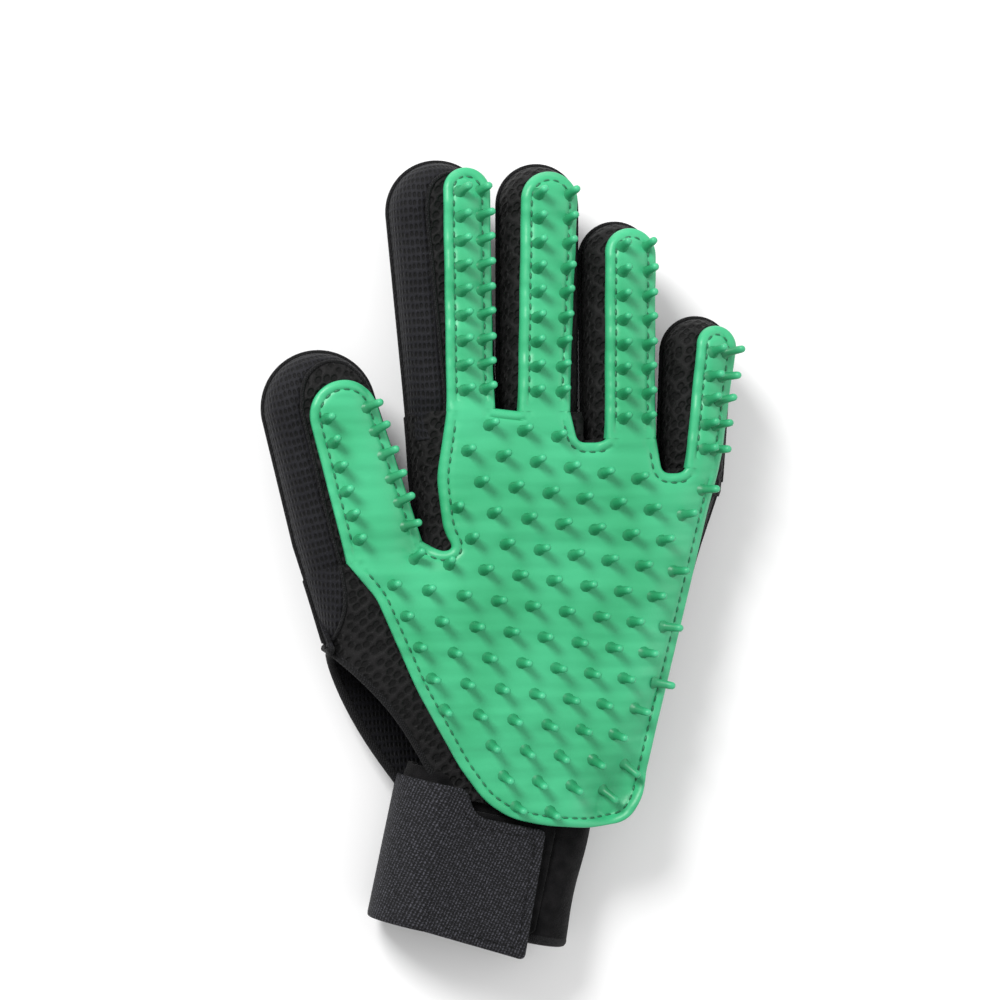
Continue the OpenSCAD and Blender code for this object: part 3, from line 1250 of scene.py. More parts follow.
    def rubber_top(self, p: Array, stall: Stall | None = None) -> Array:
        """Height of the rubber's upper face away from its rim.

        It lies on the palm, and eases onto its finger over the 12 mm in front of the root.

        Args:
            p: (n, 2) places.
            stall: the finger under it, or None for the palm.

        Returns:
            (n,) heights.
        """
        near = smooth(1 - segment_distance(p, *self.wrist) / self.wrist_reach)
        height = self.palm_top(p, self.palm_least) + 0.75 * self.wrist_drop * near
        if stall is not None:
            q = stall.local(p)
            part = smooth((q[:, 1] - ROOT_Y) / 12)
            height = height * (1 - part) + self.stall_top(stall, q, self.finger_least) * part
        return height + self.plate_rise

    def rubber_normal(self, p: Array, stall: Stall | None = None) -> Array:
        """Unit normals of the rubber's upper face, from its slope over 1 mm.

        Args:
            p: (n, 2) places.
            stall: the finger under them, or None for the palm.

        Returns:
            (n, 3) unit vectors.
        """
        dx = self.rubber_top(p + [1.0, 0], stall) - self.rubber_top(p - [1.0, 0], stall)
        dy = self.rubber_top(p + [0, 1.0], stall) - self.rubber_top(p - [0, 1.0], stall)
        n = np.column_stack([-dx / 2, -dy / 2, np.ones(len(p))])
        return n / np.linalg.norm(n, axis=1, keepdims=True)


def tube(path: Array, up: Array, wide: float, high: float, closed: bool, sides: int = 8) -> Shape:
    """A cord of elliptical section along a path.

    Each ring lies across the path's tangent: p + wide cos(u) side + high sin(u) up.

    Args:
        path: (n, 3) points.
        up: (n, 3) directions of the section's height.
        wide: half width.
        high: half height.
        closed: True for a loop.
        sides: points in a ring.

    Returns:
        Vertices and faces, with ends capped if open.
    """
    way = np.roll(path, -1, 0) - np.roll(path, 1, 0)
    if not closed:
        way[0], way[-1] = path[1] - path[0], path[-1] - path[-2]
    way /= np.maximum(np.linalg.norm(way, axis=1, keepdims=True), 1e-9)
    side = np.cross(way, up)
    side /= np.maximum(np.linalg.norm(side, axis=1, keepdims=True), 1e-9)
    top = np.cross(side, way)
    u = np.linspace(0, 2 * np.pi, sides, endpoint=False)[None, :, None]
    section = wide * np.cos(u) * side[:, None] + high * np.sin(u) * top[:, None]
    verts = (path[:, None] + section).reshape(-1, 3)
    n = len(path)
    rows = n + 1 if closed else n
    faces = np.array(grid_faces(rows, sides, True)) % (n * sides)
    faces = faces[:, ::-1].tolist()
    if not closed:
        faces += [list(range(sides)), list(range(n * sides - 1, (n - 1) * sides - 1, -1))]
    return verts, faces


def runs_of(path: Array, keep: Array, jump: float) -> list[Array]:
    """Splits a closed path into stretches of kept points with no gap longer than jump.

    Args:
        path: (n, 2) points of a closed path.
        keep: (n,) True for a kept point.
        jump: the longest gap within a stretch.

    Returns:
        Each stretch of five points or more.
    """
    if not keep.any():
        return []
    first = int(np.argmin(keep))
    index = np.roll(np.arange(len(path)), -first)
    index = index[keep[index]]
    points = path[index]
    cut = np.nonzero(np.linalg.norm(np.diff(points, axis=0), axis=1) > jump)[0] + 1
    return [run for run in np.split(points, cut) if len(run) > 4]


# ---------------------------------------------------------------- pieces

POCKET_RINGS = (0.12, 0.45, 1.0, 1.9, 3.2, 5.0, 7.2, 9.8)
RUBBER_RINGS = (0.1, 0.35, 0.8, 1.4, 2.1, 2.5, 2.8, 3.1, 3.6, 4.6)


@dataclass
class HandPocket:
    """The palm's mesh panel, the knit back, their seam and the bound side vent."""

    glove: Glove
    finishes: Finishes
    wall: float = 1.3
    seam: float = 0.85

    def knit_line(self) -> Array:
        """The line on the palm side where the knit ends, from the thumb's root to the vent.

        Returns:
            (20, 2) points.
        """
        thumb = self.glove.stalls["thumb"]
        start = thumb.world(np.array([[10.0 - thumb.half, ROOT_Y]]))[0]
        starts, ends = self.glove.vent_palm
        way = min((starts[0] - start, ends[-1] - start), key=np.linalg.norm)
        t = np.linspace(0, 1, 20)[:, None]
        across = np.array([-way[1], way[0]]) / np.linalg.norm(way)
        return start + way * t + 2.5 * np.sin(np.pi * t) * across

    def panels(self) -> dict[str, Object]:
        """The panels as height fields over their plans, thickened inwards.

        Returns:
            The three panels by name.
        """
        glove, made = self.glove, {}
        line = self.knit_line()
        for side in Side:
            plan = glove.palm if side is Side.PALM else glove.back
            loop = dense(rounded(plan, 2.5, 2.5, self.fixed(plan)), 1.8)
            kept = line if side is Side.PALM else None
            points, tri = triangulate(loop, POCKET_RINGS + (13.0, 17.0), 4.0, kept)
            cloth = unrolled(points, *glove.sewn, glove.palm_round, 13.0)
            if side is Side.BACK:
                low = lifted(points, glove.palm_low(points))
                made["back_panel_knit"] = make("back_panel_knit", low, tri[:, ::-1].tolist(),
                                               self.finishes.knit, cloth)
                continue
            middle = points[tri].mean(1)
            way = line[-1] - line[0]
            beyond = segment_distance(middle, line[:-1], line[1:])
            foot = nearest_on(middle, line[:-1], line[1:])
            left = (np.cross(way, middle - foot) < 0) & (beyond < 16)
            left &= middle @ way > line[0] @ way - 40
            high = lifted(points, glove.palm_top(points))
            for name, part, material in (("palm_panel", ~left, self.finishes.mesh),
                                         ("thumb_side_knit", left, self.finishes.knit)):
                made[name] = make(name, high, tri[part].tolist(), material, cloth)
        for obj in made.values():
            clean(obj)
            thicken(obj, self.wall)
        return made

    def fixed(self, plan: Array) -> Array:
        """True for corners at the finger mouths and the wrist, which stay sharp."""
        near = segment_distance(plan, *self.glove.roots) < 0.5
        return near | (segment_distance(plan, *self.glove.wrist) < 0.5)

    def seam_cord(self) -> Object:
        """The seam ridge along each sewn side, at mid height.

        Returns:
            The seam.
        """
        parts = []
        a, b = self.glove.sewn
        start, runs = 0, []
        for i in range(1, len(a) + 1):
            if i == len(a) or np.linalg.norm(a[i] - b[i - 1]) > 0.1:
                runs.append(np.vstack([a[start:i], b[i - 1:i]]))
                start = i
        for run in runs:
            line = dense(run, 2.0, closed=False)
            out = lifted(-inward(line), 0.0)
            path = lifted(line, self.glove.palm_mid(line)) + 0.2 * out
            parts.append(tube(path, out, 0.7, self.seam, False))
        line = self.knit_line()
        path = lifted(line, self.glove.palm_top(line) + 0.05)
        parts.append(tube(path, UP, *EDGE_CORD, False))
        return make("side_seam", *joined(parts), self.finishes.tape)

    def vent_edges(self) -> Object:
        """Bound edges of the side vent, on the palm panel and on the back.

        Returns:
            The two bound edges as one piece.
        """
        glove, parts = self.glove, []
        for edge, height, rise in ((glove.vent_palm, glove.palm_top, -self.wall / 2),
                                   (glove.vent_back, glove.palm_low, self.wall / 2)):
            line = dense(np.vstack([edge[0], edge[1][-1:]]), 2.0, closed=False)
            parts.append(tube(lifted(line, height(line) + rise), UP, 1.35, 1.0, False, 10))
        return make("vent_edge", *joined(parts), self.finishes.tape)

    def build(self) -> None:
        """Builds the pocket on the hand's own body."""
        made = self.panels()
        palm, back, knit = made["palm_panel"], made["back_panel_knit"], made["thumb_side_knit"]
        seam, vent = self.seam_cord(), self.vent_edges()
        for obj, slot in ((palm, "mesh_fabric"), (back, "back_knit"), (knit, "back_knit"),
                          (seam, "binding_tape"),
                          (vent, "binding_tape")):
            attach(obj, "root")
        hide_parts("palm_mesh", "web_gusset", "little_side_gusset")
        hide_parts("thumb_base_gusset")
        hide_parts("back_panel")
        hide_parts("vent_binding")
        LOG.info("hand pocket built")


@dataclass
class FingerPocket:
    """One finger's mesh side, knit side and seam."""

    glove: Glove
    finishes: Finishes
    stall: Stall
    wall: float = 1.1
    knit_in: float = 10.0

    def knit_line(self, side: Array) -> Array | None:
        """The line on the palm side where the back's knit ends, on a finger that shows it.

        The line keeps a distance from the side that eases from knit_in to 1.6 mm past the tip.

        Args:
            side: the closed side, from the right of the root round the tip.

        Returns:
            The line from the left of the root, or None.
        """
        if self.stall.name not in KNIT_SHOWS:
            return None
        left = side[::-1]
        run = run_along(left)
        tip = run[int(np.argmax(left[:, 1]))]
        width = 1.6 + (self.knit_in - 1.6) * smooth((tip + 14 - run) / 34)
        t = np.gradient(left, axis=0)
        t /= np.linalg.norm(t, axis=1, keepdims=True)
        line = left + width[:, None] * np.column_stack([t[:, 1], -t[:, 0]])
        keep = (line[:, 1] > -10.9) & (run < tip + 22)
        return line[keep]

    def build(self) -> None:
        """Builds the finger and bakes its pieces' transforms into their meshes."""
        stall, glove = self.stall, self.glove
        side = dense(glove.stall_side(stall), 1.6, closed=False)
        loop = np.vstack([side, dense(np.vstack([side[-1], side[0]]), 1.6, closed=False)[1:-1]])
        line = self.knit_line(side)
        points, tri = triangulate(loop, POCKET_RINGS[:-1], 3.2, line)
        plan = stall.world(points)
        top, low = glove.stall_top(stall, points), glove.stall_low(stall, points)
        over = np.zeros(len(tri), bool)
        if line is not None:
            left = side[::-1]
            end = int(np.argmin(np.linalg.norm(left - line[-1], axis=1)))
            over = inside(points[tri].mean(1), np.vstack([left[:end + 1], line[::-1]]))
        cloth = unrolled(points, side[:-1], side[1:], glove.finger_round, TOP_Z - FINGER_MID_Z)
        palm = make(f"{stall.name}_palm_side", lifted(plan, top), tri[~over].tolist(),
                    self.finishes.mesh, cloth)
        both = np.vstack([tri[:, ::-1], tri[over] + len(points)])
        back = make(f"{stall.name}_back_side", np.vstack([lifted(plan, low), lifted(plan, top)]),
                    both.tolist(), self.finishes.knit, np.vstack([cloth, cloth]))
        for obj in (palm, back):
            obj.data.validate()
            clean(obj)
            thicken(obj, self.wall)
            bake(obj)
        seam = make(f"{stall.name}_seam", *joined(self.seams(side, line)), self.finishes.tape)
        for obj, slot in ((palm, "mesh_fabric"), (back, "back_knit"), (seam, "binding_tape")):
            stall.blend(obj)
        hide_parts(f"{stall.name}_mesh", f"{stall.name}_gusset")
        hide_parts(f"{stall.name}_back", f"{stall.name}_knuckle")
        LOG.info("%s pocket built", stall.name)

    def seams(self, side: Array, line: Array | None) -> list[Shape]:
        """Seam cords at mid height, and along the edge of the knit where it shows.

        Args:
            side: the closed side, in the finger's axes.
            line: the edge of the knit, if it shows.

        Returns:
            Vertices and faces of each cord.
        """
        stall = self.stall
        world = stall.world(side[side[:, 1] > TAIL])
        t = np.gradient(world, axis=0)
        t /= np.linalg.norm(t, axis=1, keepdims=True)
        out = np.column_stack([t[:, 1], -t[:, 0], np.zeros(len(t))])
        parts = [tube(lifted(world, FINGER_MID_Z) + 0.15 * out, out, 0.7, 0.8, False)]
        if line is not None:
            line = line[line[:, 1] > TAIL]
            path = lifted(stall.world(line), self.glove.stall_top(stall, line) + 0.05)
            parts.append(tube(path, UP, *EDGE_CORD, False))
        return parts


@dataclass
class RubberPlate:
    """The moulded rubber: the palm's sheet and a strip up each finger, with pins and stitches."""

    glove: Glove
    finishes: Finishes
    thick: float = 2.0
    rim: float = 1.3
    groove_in: float = 2.8
    pin_profile: tuple[tuple[float, float], ...] = (
        (2.2, -0.6), (1.6, 0.3), (1.32, 1.0), (1.18, 5.0), (1.06, 5.8), (0.65, 6.28), (0.0, 6.42))
    pin_sides: int = 10
    # for each finger: the share of the rubber's slope that its pins follow, and their lean to +X
    finger_lean: tuple[tuple[float, float], ...] = (
        (1.0, 0.10), (0.35, 0.25), (0.3, 0.10), (0.3, 0.07), (1.0, 0.27))

    def pin_feet(self, node: str) -> Array:
        """Plan places of the pins of a CAD node, one at the middle of each flat tip.

        Args:
            node: the CAD node.

        Returns:
            (n, 2) places.
        """
        co = node_points(node)
        tips = np.unique(np.round(co[co[:, 2] > co[:, 2].max() - 0.05], 3), axis=0)[:, :2]
        feet = []
        while len(tips):
            near = np.linalg.norm(tips - tips[0], axis=1) < 3.5
            feet.append((tips[near].min(0) + tips[near].max(0)) / 2)
            tips = tips[~near]
        return np.array(feet)

    def sheet(self, loop: Array, cuts: tuple[Array, Array], stall: Stall | None) -> Shape:
        """A sheet with a rounded rim and a stitched groove, closed underneath.

        The top is base + rim + (thick - rim) dome(d / rim), less a Gaussian groove at groove_in.

        Args:
            loop: dense outline.
            cuts: stretches of the outline where two sheets meet, which have no rim.
            stall: the finger that it lies on, or None for the palm.

        Returns:
            Vertices and faces.
        """
        points, tri = triangulate(loop, RUBBER_RINGS, 3.6)
        middle = (loop + np.roll(loop, -1, 0)) / 2
        open_edge = segment_distance(middle, *cuts) > 0.05
        d = segment_distance(points, loop[open_edge], np.roll(loop, -1, 0)[open_edge])
        top = self.glove.rubber_top(points, stall)
        base = top - self.thick
        edge = 0.9 + (self.thick - 0.9) * dome(d / self.rim, 2.2)
        groove = 0.42 * dip(d, self.groove_in, 0.42)
        bead = 0.14 * dip(d, 1.5, 0.7)
        under = base
        if stall is not None:
            glove = self.glove
            fabric_top = glove.stall_top(stall, stall.local(points), glove.finger_least) + 0.05
            under = np.minimum(base, fabric_top)
        return slab(points, tri, base + edge - groove + bead, under)

    def stitches(self, loop: Array, cuts: tuple[Array, Array], stall: Stall | None) -> list[Shape]:
        """Threads in the groove, along every free edge.

        Args:
            loop: dense outline.
            cuts: stretches where two sheets meet, which have no thread.
            stall: the finger that the sheet lies on, or None for the palm.

        Returns:
            Vertices and faces of each row.
        """
        inner = loop + inward(loop) * self.groove_in
        keep = (loop_distance(inner, loop) > self.groove_in - 0.12) & inside(inner, loop)
        keep &= (segment_distance(inner, *cuts) > 1.2) & (segment_distance(loop, *cuts) > 0.05)
        parts = []
        for run in runs_of(inner, keep, 3.0):
            path = lifted(run, self.glove.rubber_top(run, stall) - 0.34)
            normal = self.glove.rubber_normal(run, stall)
            if np.linalg.norm(np.diff(path, axis=0), axis=1).sum() > 6:
                parts.append(stitch_row(path, normal, 3.1, 2.1, 0.3))
        return parts

    def pins(self, node: str, stall: Stall | None) -> Shape:
        """The pins of a CAD node, each along the rubber's own normal with a little splay.

        A finger's strip takes one more row, a pitch nearer the palm, where it bends.

        Args:
            node: the CAD node.
            stall: the finger under them, or None for the palm.

        Returns:
            Vertices and faces.
        """
        feet = self.pin_feet(node)
        if stall is not None:
            q = stall.local(feet)
            rows = np.unique(np.round(q[:, 1], 1))
            q = np.vstack([q, q[q[:, 1] < rows[0] + 1] - [0, rows[1] - rows[0]]])
            middle = stall.strip[:, 0].mean()
            aside = np.where(q[:, 0] < middle, 1.4, 0.2)
            feet = stall.world(q + np.column_stack([aside, 0 * aside]))
        base = lifted(feet, self.glove.rubber_top(feet, stall))
        profile = np.array(self.pin_profile)
        splay = np.column_stack([0.17 + 0.1 * np.clip(feet[:, 0] / 60, -1, 1),
                                 np.clip((feet[:, 1] + 28) / 230, -0.22, 0.16),
                                 np.zeros(len(feet))])
        way = self.glove.rubber_normal(feet, stall)
        if stall is not None:
            share, splay[:, 0] = self.finger_lean[FINGERS.index(stall.name)]
            way[:, :2] *= share
        else:
            rim = loop_distance(feet, node_plan(node, TOP_Z))
            outer = (feet[:, 0] > 15) & (feet[:, 1] < 20)
            splay[:, 0] += np.where(outer, 0.45 * smooth((7.5 - rim) / 3.5), 0)
        way += splay
        way /= np.linalg.norm(way, axis=1, keepdims=True)
        return turned_shapes(base, way, profile[:, 0], profile[:, 1], self.pin_sides)

    def root_corners(self, stall: Stall, palm: Array) -> Array:
        """The two palm corners at a strip's root, left then right in the finger's axes.

        Args:
            stall: the finger.
            palm: corners of the palm's sheet.

        Returns:
            The (2, 2) corners.
        """
        q = stall.local(palm)
        score = np.abs(q[:, 1] - ROOT_Y) + 10 * (np.abs(q[:, 0]) > stall.half + 1)
        pair = palm[np.argsort(score)[:2]]
        return pair[np.argsort(stall.local(pair)[:, 0])]

    def build(self) -> None:
        """Builds the palm's sheet and the five strips."""
        palm = node_plan("palm_rubber", TOP_Z)
        corners = {n: self.root_corners(s, palm) for n, s in self.glove.stalls.items()}
        cuts = (np.array([c[0] for c in corners.values()]),
                np.array([c[1] for c in corners.values()]))
        sharp = segment_distance(palm, *cuts) < 0.05
        loop = dense(rounded(palm, 4.0, 2.6, sharp), 1.3)
        parts = [self.sheet(loop, cuts, None), self.pins("palm_rubber", None)]
        self.dress("palm_rubber_sheet", "root", parts, self.stitches(loop, cuts, None),
                   "palm_rubber", None)
        for name, stall in self.glove.stalls.items():
            strip = stall.strip
            body = strip[strip[:, 1] > strip[:, 1].min() + 0.5]
            first = int(np.argmax(np.linalg.norm(body - np.roll(body, 1, 0), axis=1)))
            root = stall.local(corners[name])
            outline = stall.world(np.vstack([root[1:], np.roll(body, -first, 0), root[:1]]))
            cut = (corners[name][:1], corners[name][1:])
            sharp = segment_distance(outline, *cut) < 0.05
            loop = dense(rounded(outline, 4.0, 2.6, sharp), 1.2)
            node = f"{name}_rubber"
            parts = [self.sheet(loop, cut, stall), self.pins(node, stall)]
            self.dress(f"{name}_rubber_strip", name, parts, self.stitches(loop, cut, stall), node,
                       stall)
        LOG.info("rubber plate built")

    def dress(self, name: str, body: str, parts: list, threads: list, node: str,
              stall: Stall | None) -> None:
        """Makes a sheet and its threads, and ties the palm's to their body or bakes a finger's
        transforms.

        Args:
            name: the sheet's name.
            body: the body that it belongs to.
            parts: the sheet, then its pins.
            threads: its rows of stitches.
            node: the CAD node that it replaces.
            stall: the finger under it, or None for the palm.
        """
        sheet, pins = parts
        # height up each pin, 0 on the sheet, which the rubber's material turns into painted shade
        # on pin bodies and a painted highlight at pin tips
        rise = np.array([h for _, h in self.pin_profile])
        one = np.concatenate([np.repeat(np.maximum(rise[:-1], 0.2), self.pin_sides), rise[-1:]])
        up = np.concatenate([np.zeros(len(sheet[0])), np.tile(one, len(pins[0]) // len(one))])
        rubber = make(name, *joined(parts), self.finishes.rubber,
                      np.column_stack([up, 0 * up, 0 * up]))
        rubber.data.set_sharp_from_angle(angle=math.radians(50))
        thread = make(f"{name}_thread", *joined(threads), self.finishes.thread)
        for obj in (rubber, thread):
            if stall is None:
                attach(obj, body)
            else:
                stall.blend(obj)
        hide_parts(node)


@dataclass
class Cuff:
    """The velvet cuff with its hem, and the strap with its peeling tab."""

    finishes: Finishes
    half: float = 30.5
    length: float = 43.0
    hinge_x: float = -17.0
    strap: float = 1.4

    def __post_init__(self) -> None:
        """Reads the cuff's axes from the strap's joint."""
        joint = next(j for j in frame["joints"] if j["child"] == "strap")
        pos = 1000 * np.array(joint["pos_m"])
        self.ey = -np.array(joint["axis"][:2])
        self.ex = np.array([self.ey[1], -self.ey[0]])
        self.wrist = pos[:2] - self.hinge_x * self.ex + 25 * self.ey
        self.hinge_z = pos[2]
        self.radius = CUFF_TOP_Z / 2

    def world(self, verts: Array) -> Array:
        """Cuff coordinates (across, along, up) in the row frame."""
        plan = self.wrist + verts[:, :1] * self.ex + verts[:, 1:2] * self.ey
        return np.column_stack([plan, verts[:, 2]])

    def local(self, points: Array) -> Array:
        """Plan points in the cuff's own axes."""
        rel = points[:, :2] - self.wrist
        return np.stack([rel @ self.ex, rel @ self.ey], 1)

    def section(self, count: int) -> tuple[Array, Array]:
        """Evenly spaced points and outward normals of the stadium section, from its lower middle.

        Args:
            count: how many points.

        Returns:
            (count, 2) points and (count, 2) normals.
        """
        flat, r = self.half - self.radius, self.radius
        total = 4 * flat + 2 * math.pi * r
        s = np.arange(count) / count * total
        bend = math.pi * r
        knots = np.array([0, flat, flat + bend, 3 * flat + bend, 3 * flat + 2 * bend, total])
        x = np.interp(s, knots, [0, flat, flat, -flat, -flat, 0])
        turn = np.interp(s, knots, [-90, -90, 90, 90, 270, 270]) * math.pi / 180
        normal = np.column_stack([np.cos(turn), np.sin(turn)])
        return np.column_stack([x, np.full(count, r)]) + normal * r, normal

    def swept(self, ys: Array, out: Array, count: int = 120) -> Array:
        """The section carried along the arm: point + out(y, s) normal, on a rows by count grid.

        Args:
            ys: (rows,) places along the arm.
            out: (rows, count) distances outside the section.
            count: points round it.

        Returns:
            (rows * count, 3) vertices in the cuff's axes.
        """
        at, normal = self.section(count)
        ring = at[None] + out[:, :, None] * normal[None]
        y = np.broadcast_to(ys[:, None], ring.shape[:2])
        return np.stack([ring[..., 0], y, ring[..., 1]], -1).reshape(-1, 3)

    def band(self) -> Object:
        """The cuff's tube, with soft folds and a tucked start inside the hand.

        Returns:
            The tube.
        """
        ys = np.linspace(1.0, -self.length, 26)
        s = np.linspace(0, 2 * np.pi, 120, endpoint=False)
        fold = 0.3 * np.sin(5 * s[None] + ys[:, None] * 0.12)
        fold += 0.2 * np.sin(3 * s[None] - ys[:, None] * 0.21)
        out = -0.6 + fold - 0.8 * smooth((ys[:, None] + 3) / 4)
        obj = make("cuff_tube", self.world(self.swept(ys, out)), grid_faces(len(ys), 120, True),
                   self.finishes.pile)
        thicken(obj, 1.3)
        return obj

    def hem(self) -> Object:
        """Tape folded over the cuff's open edge.

        Returns:
            The tape.
        """
        s = np.linspace(0, 2 * np.pi, 120, endpoint=False)
        at, normal = self.section(120)
        inset = -1.42 + 0.25 * np.sin(5 * s - self.length * 0.12)
        path = np.column_stack([at[:, 0], np.full(120, -self.length - 0.4), at[:, 1]])
        out = np.column_stack([normal[:, 0], np.zeros(120), normal[:, 1]])
        verts, faces = tube(path + inset[:, None] * out, out, 1.7, 1.15, True, 10)
        return make("cuff_hem", self.world(verts), faces, self.finishes.tape)

    def wrap(self) -> Object:
        """The sewn end of the strap, round the thumb's side of the cuff and up to its hinge.

        Returns:
            The strap's sewn end.
        """
        turn = np.concatenate([np.linspace(262, 90, 40), np.full(6, 90.0)]) * math.pi / 180
        flat = self.half - self.radius
        x0 = np.concatenate([np.full(40, -flat), np.linspace(-flat, self.hinge_x, 7)[1:]])
        normal = np.column_stack([np.cos(turn), np.sin(turn)])
        core = np.column_stack([x0, np.full(46, self.radius)]) + normal * self.radius
        rise = 2.0 * smooth((core[:, 0] + 27) / 9.5) * (normal[:, 1] > 0)
        foot = smooth((np.degrees(262 * math.pi / 180 - turn)) / 30)
        outer, inner = (0.05 + (self.strap - 0.05) * foot + rise), (-0.1 + rise)
        ys = np.concatenate([[-3.0, -3.3], np.linspace(-4.2, -45.8, 20), [-46.7, -47.0]])
        edge = np.concatenate([[0.35, 0.8], np.ones(20), [0.8, 0.35]])[:, None]
        up = inner[None] + (outer - inner)[None] * (0.5 + 0.5 * edge)
        low = inner[None] + (outer - inner)[None] * (0.5 - 0.5 * edge)
        profile = []
        for off in (up, low):
            ring = core[None] + off[..., None] * normal[None]
            arm = np.broadcast_to(ys[:, None], off.shape)
            profile.append(np.stack([ring[..., 0], arm, ring[..., 1]], -1))
        rows, cols = len(ys), len(core)
        loop = np.concatenate([profile[0], profile[1][::-1]], 0)
        faces = (np.array(grid_faces(2 * rows + 1, cols, False)) % (2 * rows * cols)).tolist()
        verts = loop.reshape(-1, 3)
        start = [r * cols for r in range(2 * rows)]
        ends = [start, [i + cols - 1 for i in reversed(start)]]
        run = run_along(core)
        along = np.tile(run - run[-1] + self.hinge_x, 2 * rows)
        cloth = np.column_stack([along, verts[:, 1], np.zeros(len(verts))])
        return make("strap_round", self.world(verts), [f[::-1] for f in faces + ends],
                    self.finishes.strap, cloth)

    def patch(self, name: str, node: str, low: float, high: float, material: Material,
              soft: float, stretch_to: float | None = None) -> tuple[Object, Array]:
        """A flat sewn piece with soft edges and a raised hem, over a CAD node's plan.

        Args:
            name: the piece's name.
            node: the CAD node.
            low: underside height.
            high: top height.
            material: its finish.
            soft: width of the rounded edge.
            stretch_to: where its hinge edge goes, if it has one.

        Returns:
            The piece and its dense outline.
        """
        plan = node_plan(node, 1000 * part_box(node)[1].z)
        q = self.local(plan)
        sharp = np.zeros(len(q), bool)
        if stretch_to is not None:
            sharp = q[:, 0] < self.hinge_x + 1
            q[sharp, 0] = stretch_to
        plan = self.wrist + q[:, :1] * self.ex + q[:, 1:] * self.ey
        loop = dense(rounded(plan, 2.2, 4.0, sharp), 1.4)
        points, tri = triangulate(loop, (0.1, 0.35, 0.7, 1.2, 1.8, 2.6, 3.6), 3.0)
        free = np.ones(len(loop), bool)
        if stretch_to is not None:
            middle = (loop + np.roll(loop, -1, 0)) / 2
            free = segment_distance(middle, plan[sharp][:1], plan[sharp][-1:]) > 0.05
        d = segment_distance(points, loop[free], np.roll(loop, -1, 0)[free])
        local = self.local(points)
        wave = 0.16 * np.sin(local[:, 1] * 0.31) * np.sin(local[:, 0] * 0.27 + 1)
        wave *= smooth((local[:, 0] - self.hinge_x) / 6)
        mid = (low + high) / 2
        half = (high - low) / 2
        body = half * (0.3 + 0.7 * dome(d / soft, 2.2))
        hem = 0.2 * dip(d, 1.4, 0.9) - 0.12 * dip(d, 2.9, 0.4)
        top = mid + body + (hem if soft > 0.8 else 0) + wave
        verts, faces = slab(points, tri, top, mid - body + wave)
        obj = make(name, verts, faces, material, lifted(self.local(verts), 0.0))
        obj.data.set_sharp_from_angle(angle=math.radians(55))
        return obj, loop

    def hook_field(self, z: float) -> Object:
        """Rows of small hooks that hang from the hook pad: a stem that widens to a blunt head.

        Args:
            z: height of the hooks' feet.

        Returns:
            All the hooks as one piece.
        """
        plan = self.local(node_plan("hook_patch", 1000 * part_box("hook_patch")[1].z))
        low, high = plan.min(0) + 1.4, plan.max(0) - 1.4
        x, y = np.meshgrid(np.arange(low[0], high[0], 1.7), np.arange(low[1], high[1], 1.7))
        feet = self.world(np.column_stack([x.ravel(), y.ravel(), np.full(x.size, z)]))
        down = np.tile(-UP, (len(feet), 1))
        radius, height = np.array([0.2, 0.16, 0.42, 0.0]), np.array([-0.1, 0.4, 0.5, 0.72])
        return make("hook_rows", *turned_shapes(feet, down, radius, height, 5), self.finishes.hooks)

    def build(self) -> None:
        """Builds the cuff on the hand, and the tab and its pieces with their transforms baked."""
        band, hem, wrap = self.band(), self.hem(), self.wrap()
        loop_patch, _ = self.patch("loop_pad", "loop_patch", CUFF_TOP_Z - 0.6, CUFF_TOP_Z + 1.0,
                                   self.finishes.pile, 0.7)
        low = self.hinge_z - self.strap / 2
        tab, outline = self.patch("strap_tab_end", "strap_tab", low, low + self.strap,
                                  self.finishes.strap, 0.9, self.hinge_x)
        hook, _ = self.patch("hook_pad", "hook_patch", low - 0.9, low + 0.02, self.finishes.hooks,
                             0.5)
        hooks = self.hook_field(low - 0.85)
        inner = outline + inward(outline) * 2.9
        keep = (loop_distance(inner, outline) > 2.75) & inside(inner, outline)
        keep &= self.local(inner)[:, 0] > self.hinge_x + 3.2
        rows = []
        for run in runs_of(inner, keep, 3.0):
            path = lifted(run, low + self.strap + 0.02)
            rows.append(stitch_row(path, np.tile(UP, (len(path), 1)), 2.6, 1.8, 0.22))
        thread = make("strap_tab_thread", *joined(rows), self.finishes.tape)
        for obj, slot in ((band, "loop_pile"), (hem, "binding_tape"), (wrap, "strap_webbing"),
                          (loop_patch, "loop_pile")):
            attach(obj, "root")
        ends = [self.world(np.array([[x, -25.0, self.hinge_z]]))[0] * MM
                for x in (self.hinge_x, self.hinge_x + 8)]
        for obj, slot in ((tab, "strap_webbing"), (hook, "hook_nylon"), (hooks, "hook_nylon"),
                          (thread, "strap_webbing")):
            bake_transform(obj)
        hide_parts("cuff_band")
        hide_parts("cuff_binding")
        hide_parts("strap_wrap")
        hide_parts("loop_patch")
        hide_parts("strap_tab")
        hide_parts("hook_patch")
        LOG.info("cuff and strap built")


# ---------------------------------------------------------------- studio


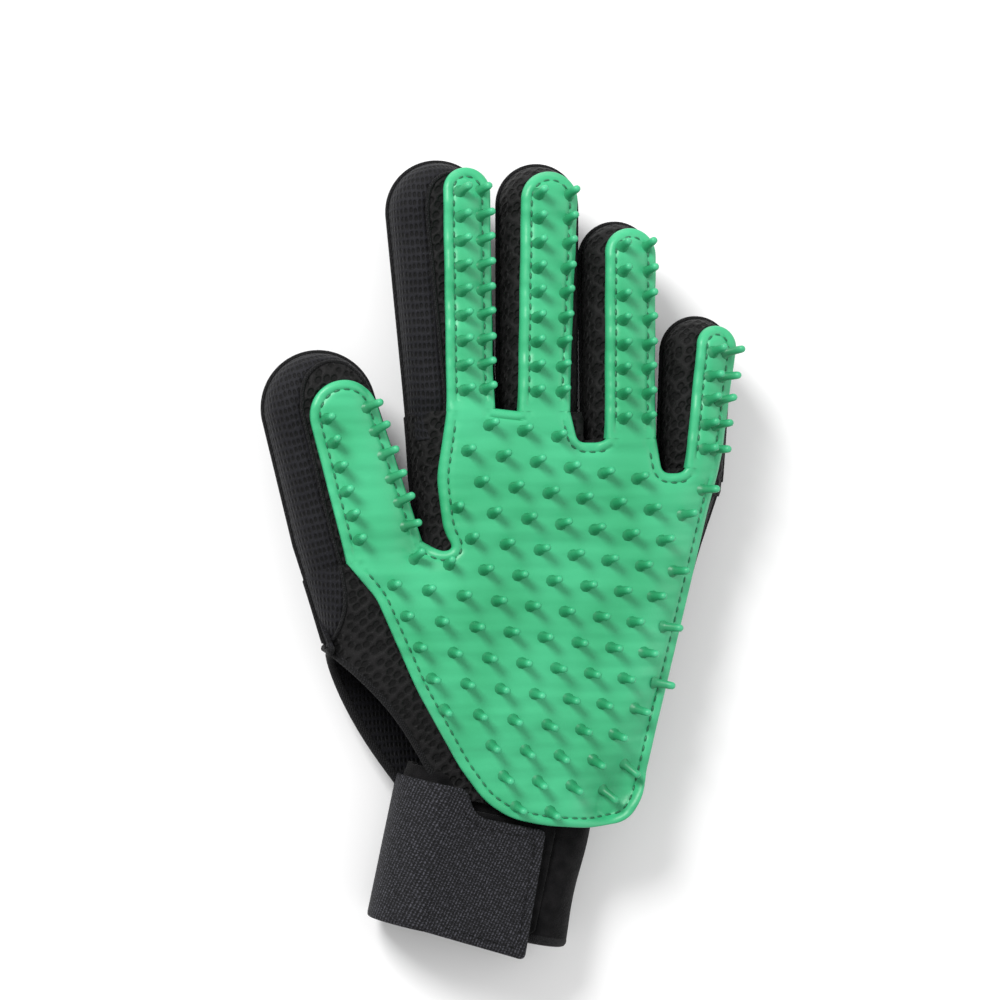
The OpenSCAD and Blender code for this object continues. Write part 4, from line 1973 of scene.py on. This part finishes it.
@dataclass
class Studio:
    """A pale floor, soft lights and the camera."""

    distance: float = 0.9
    tilt: float = 12.0
    aim_y: float = 0.0185
    lens: float = 107.0

    def light(self, name: str, place: tuple, size: float, power: float) -> None:
        """A square soft light that faces the glove.

        Args:
            name: the light's name.
            place: where it stands, in metres.
            size: its width in metres.
            power: its power in watts.
        """
        data = bpy.data.lights.new(name, "AREA")
        data.size, data.energy = size, power
        obj = placed(name, data)
        obj.location = place
        obj.rotation_euler = (-Vector(place)).to_track_quat("-Z", "Y").to_euler()

    def build(self) -> None:
        """Sets the whole stage."""
        floor_mesh = bpy.data.meshes.new("floor")
        floor_mesh.from_pydata([(-3, -3, 0), (3, -3, 0), (3, 3, 0), (-3, 3, 0)], [], [(0, 1, 2, 3)])
        floor = placed("floor", floor_mesh)
        paper = Nodes("floor_paper")
        floor_mesh.materials.append(paper.finish(Base_Color=(0.92, 0.92, 0.92, 1), Roughness=0.9,
                                                 Specular_IOR_Level=0.1))
        world = bpy.data.worlds.new("studio")
        world.use_nodes = True
        backdrop = world.node_tree.nodes["Background"]
        backdrop.inputs["Color"].default_value = (1, 1, 1, 1)
        backdrop.inputs["Strength"].default_value = 0.7
        bpy.context.scene.world = world
        self.light("key", (-0.6, 0.7, 0.8), 0.4, 14)
        self.light("fill", (0.9, 0.15, 0.7), 0.8, 3)
        bpy.context.scene.view_settings.view_transform = "Standard"
        data = bpy.data.cameras.new("camera")
        data.lens = self.lens
        camera = placed("camera", data)
        a = math.radians(self.tilt)
        aim = Vector((0.0, self.aim_y, 0.02))
        camera.location = aim + Vector((-math.sin(a), 0, math.cos(a))) * self.distance
        camera.rotation_euler = (0, -a, 0)
        bpy.context.scene.camera = camera


def main() -> None:
    """Builds the glove and its stage."""
    logging.basicConfig(level=logging.INFO, format="%(name)s: %(message)s")
    finishes = make_finishes()
    glove = Glove()
    HandPocket(glove, finishes).build()
    for stall in glove.stalls.values():
        FingerPocket(glove, finishes, stall).build()
    RubberPlate(glove, finishes).build()
    Cuff(finishes).build()
    Studio().build()


if __name__ == "__main__":
    main()
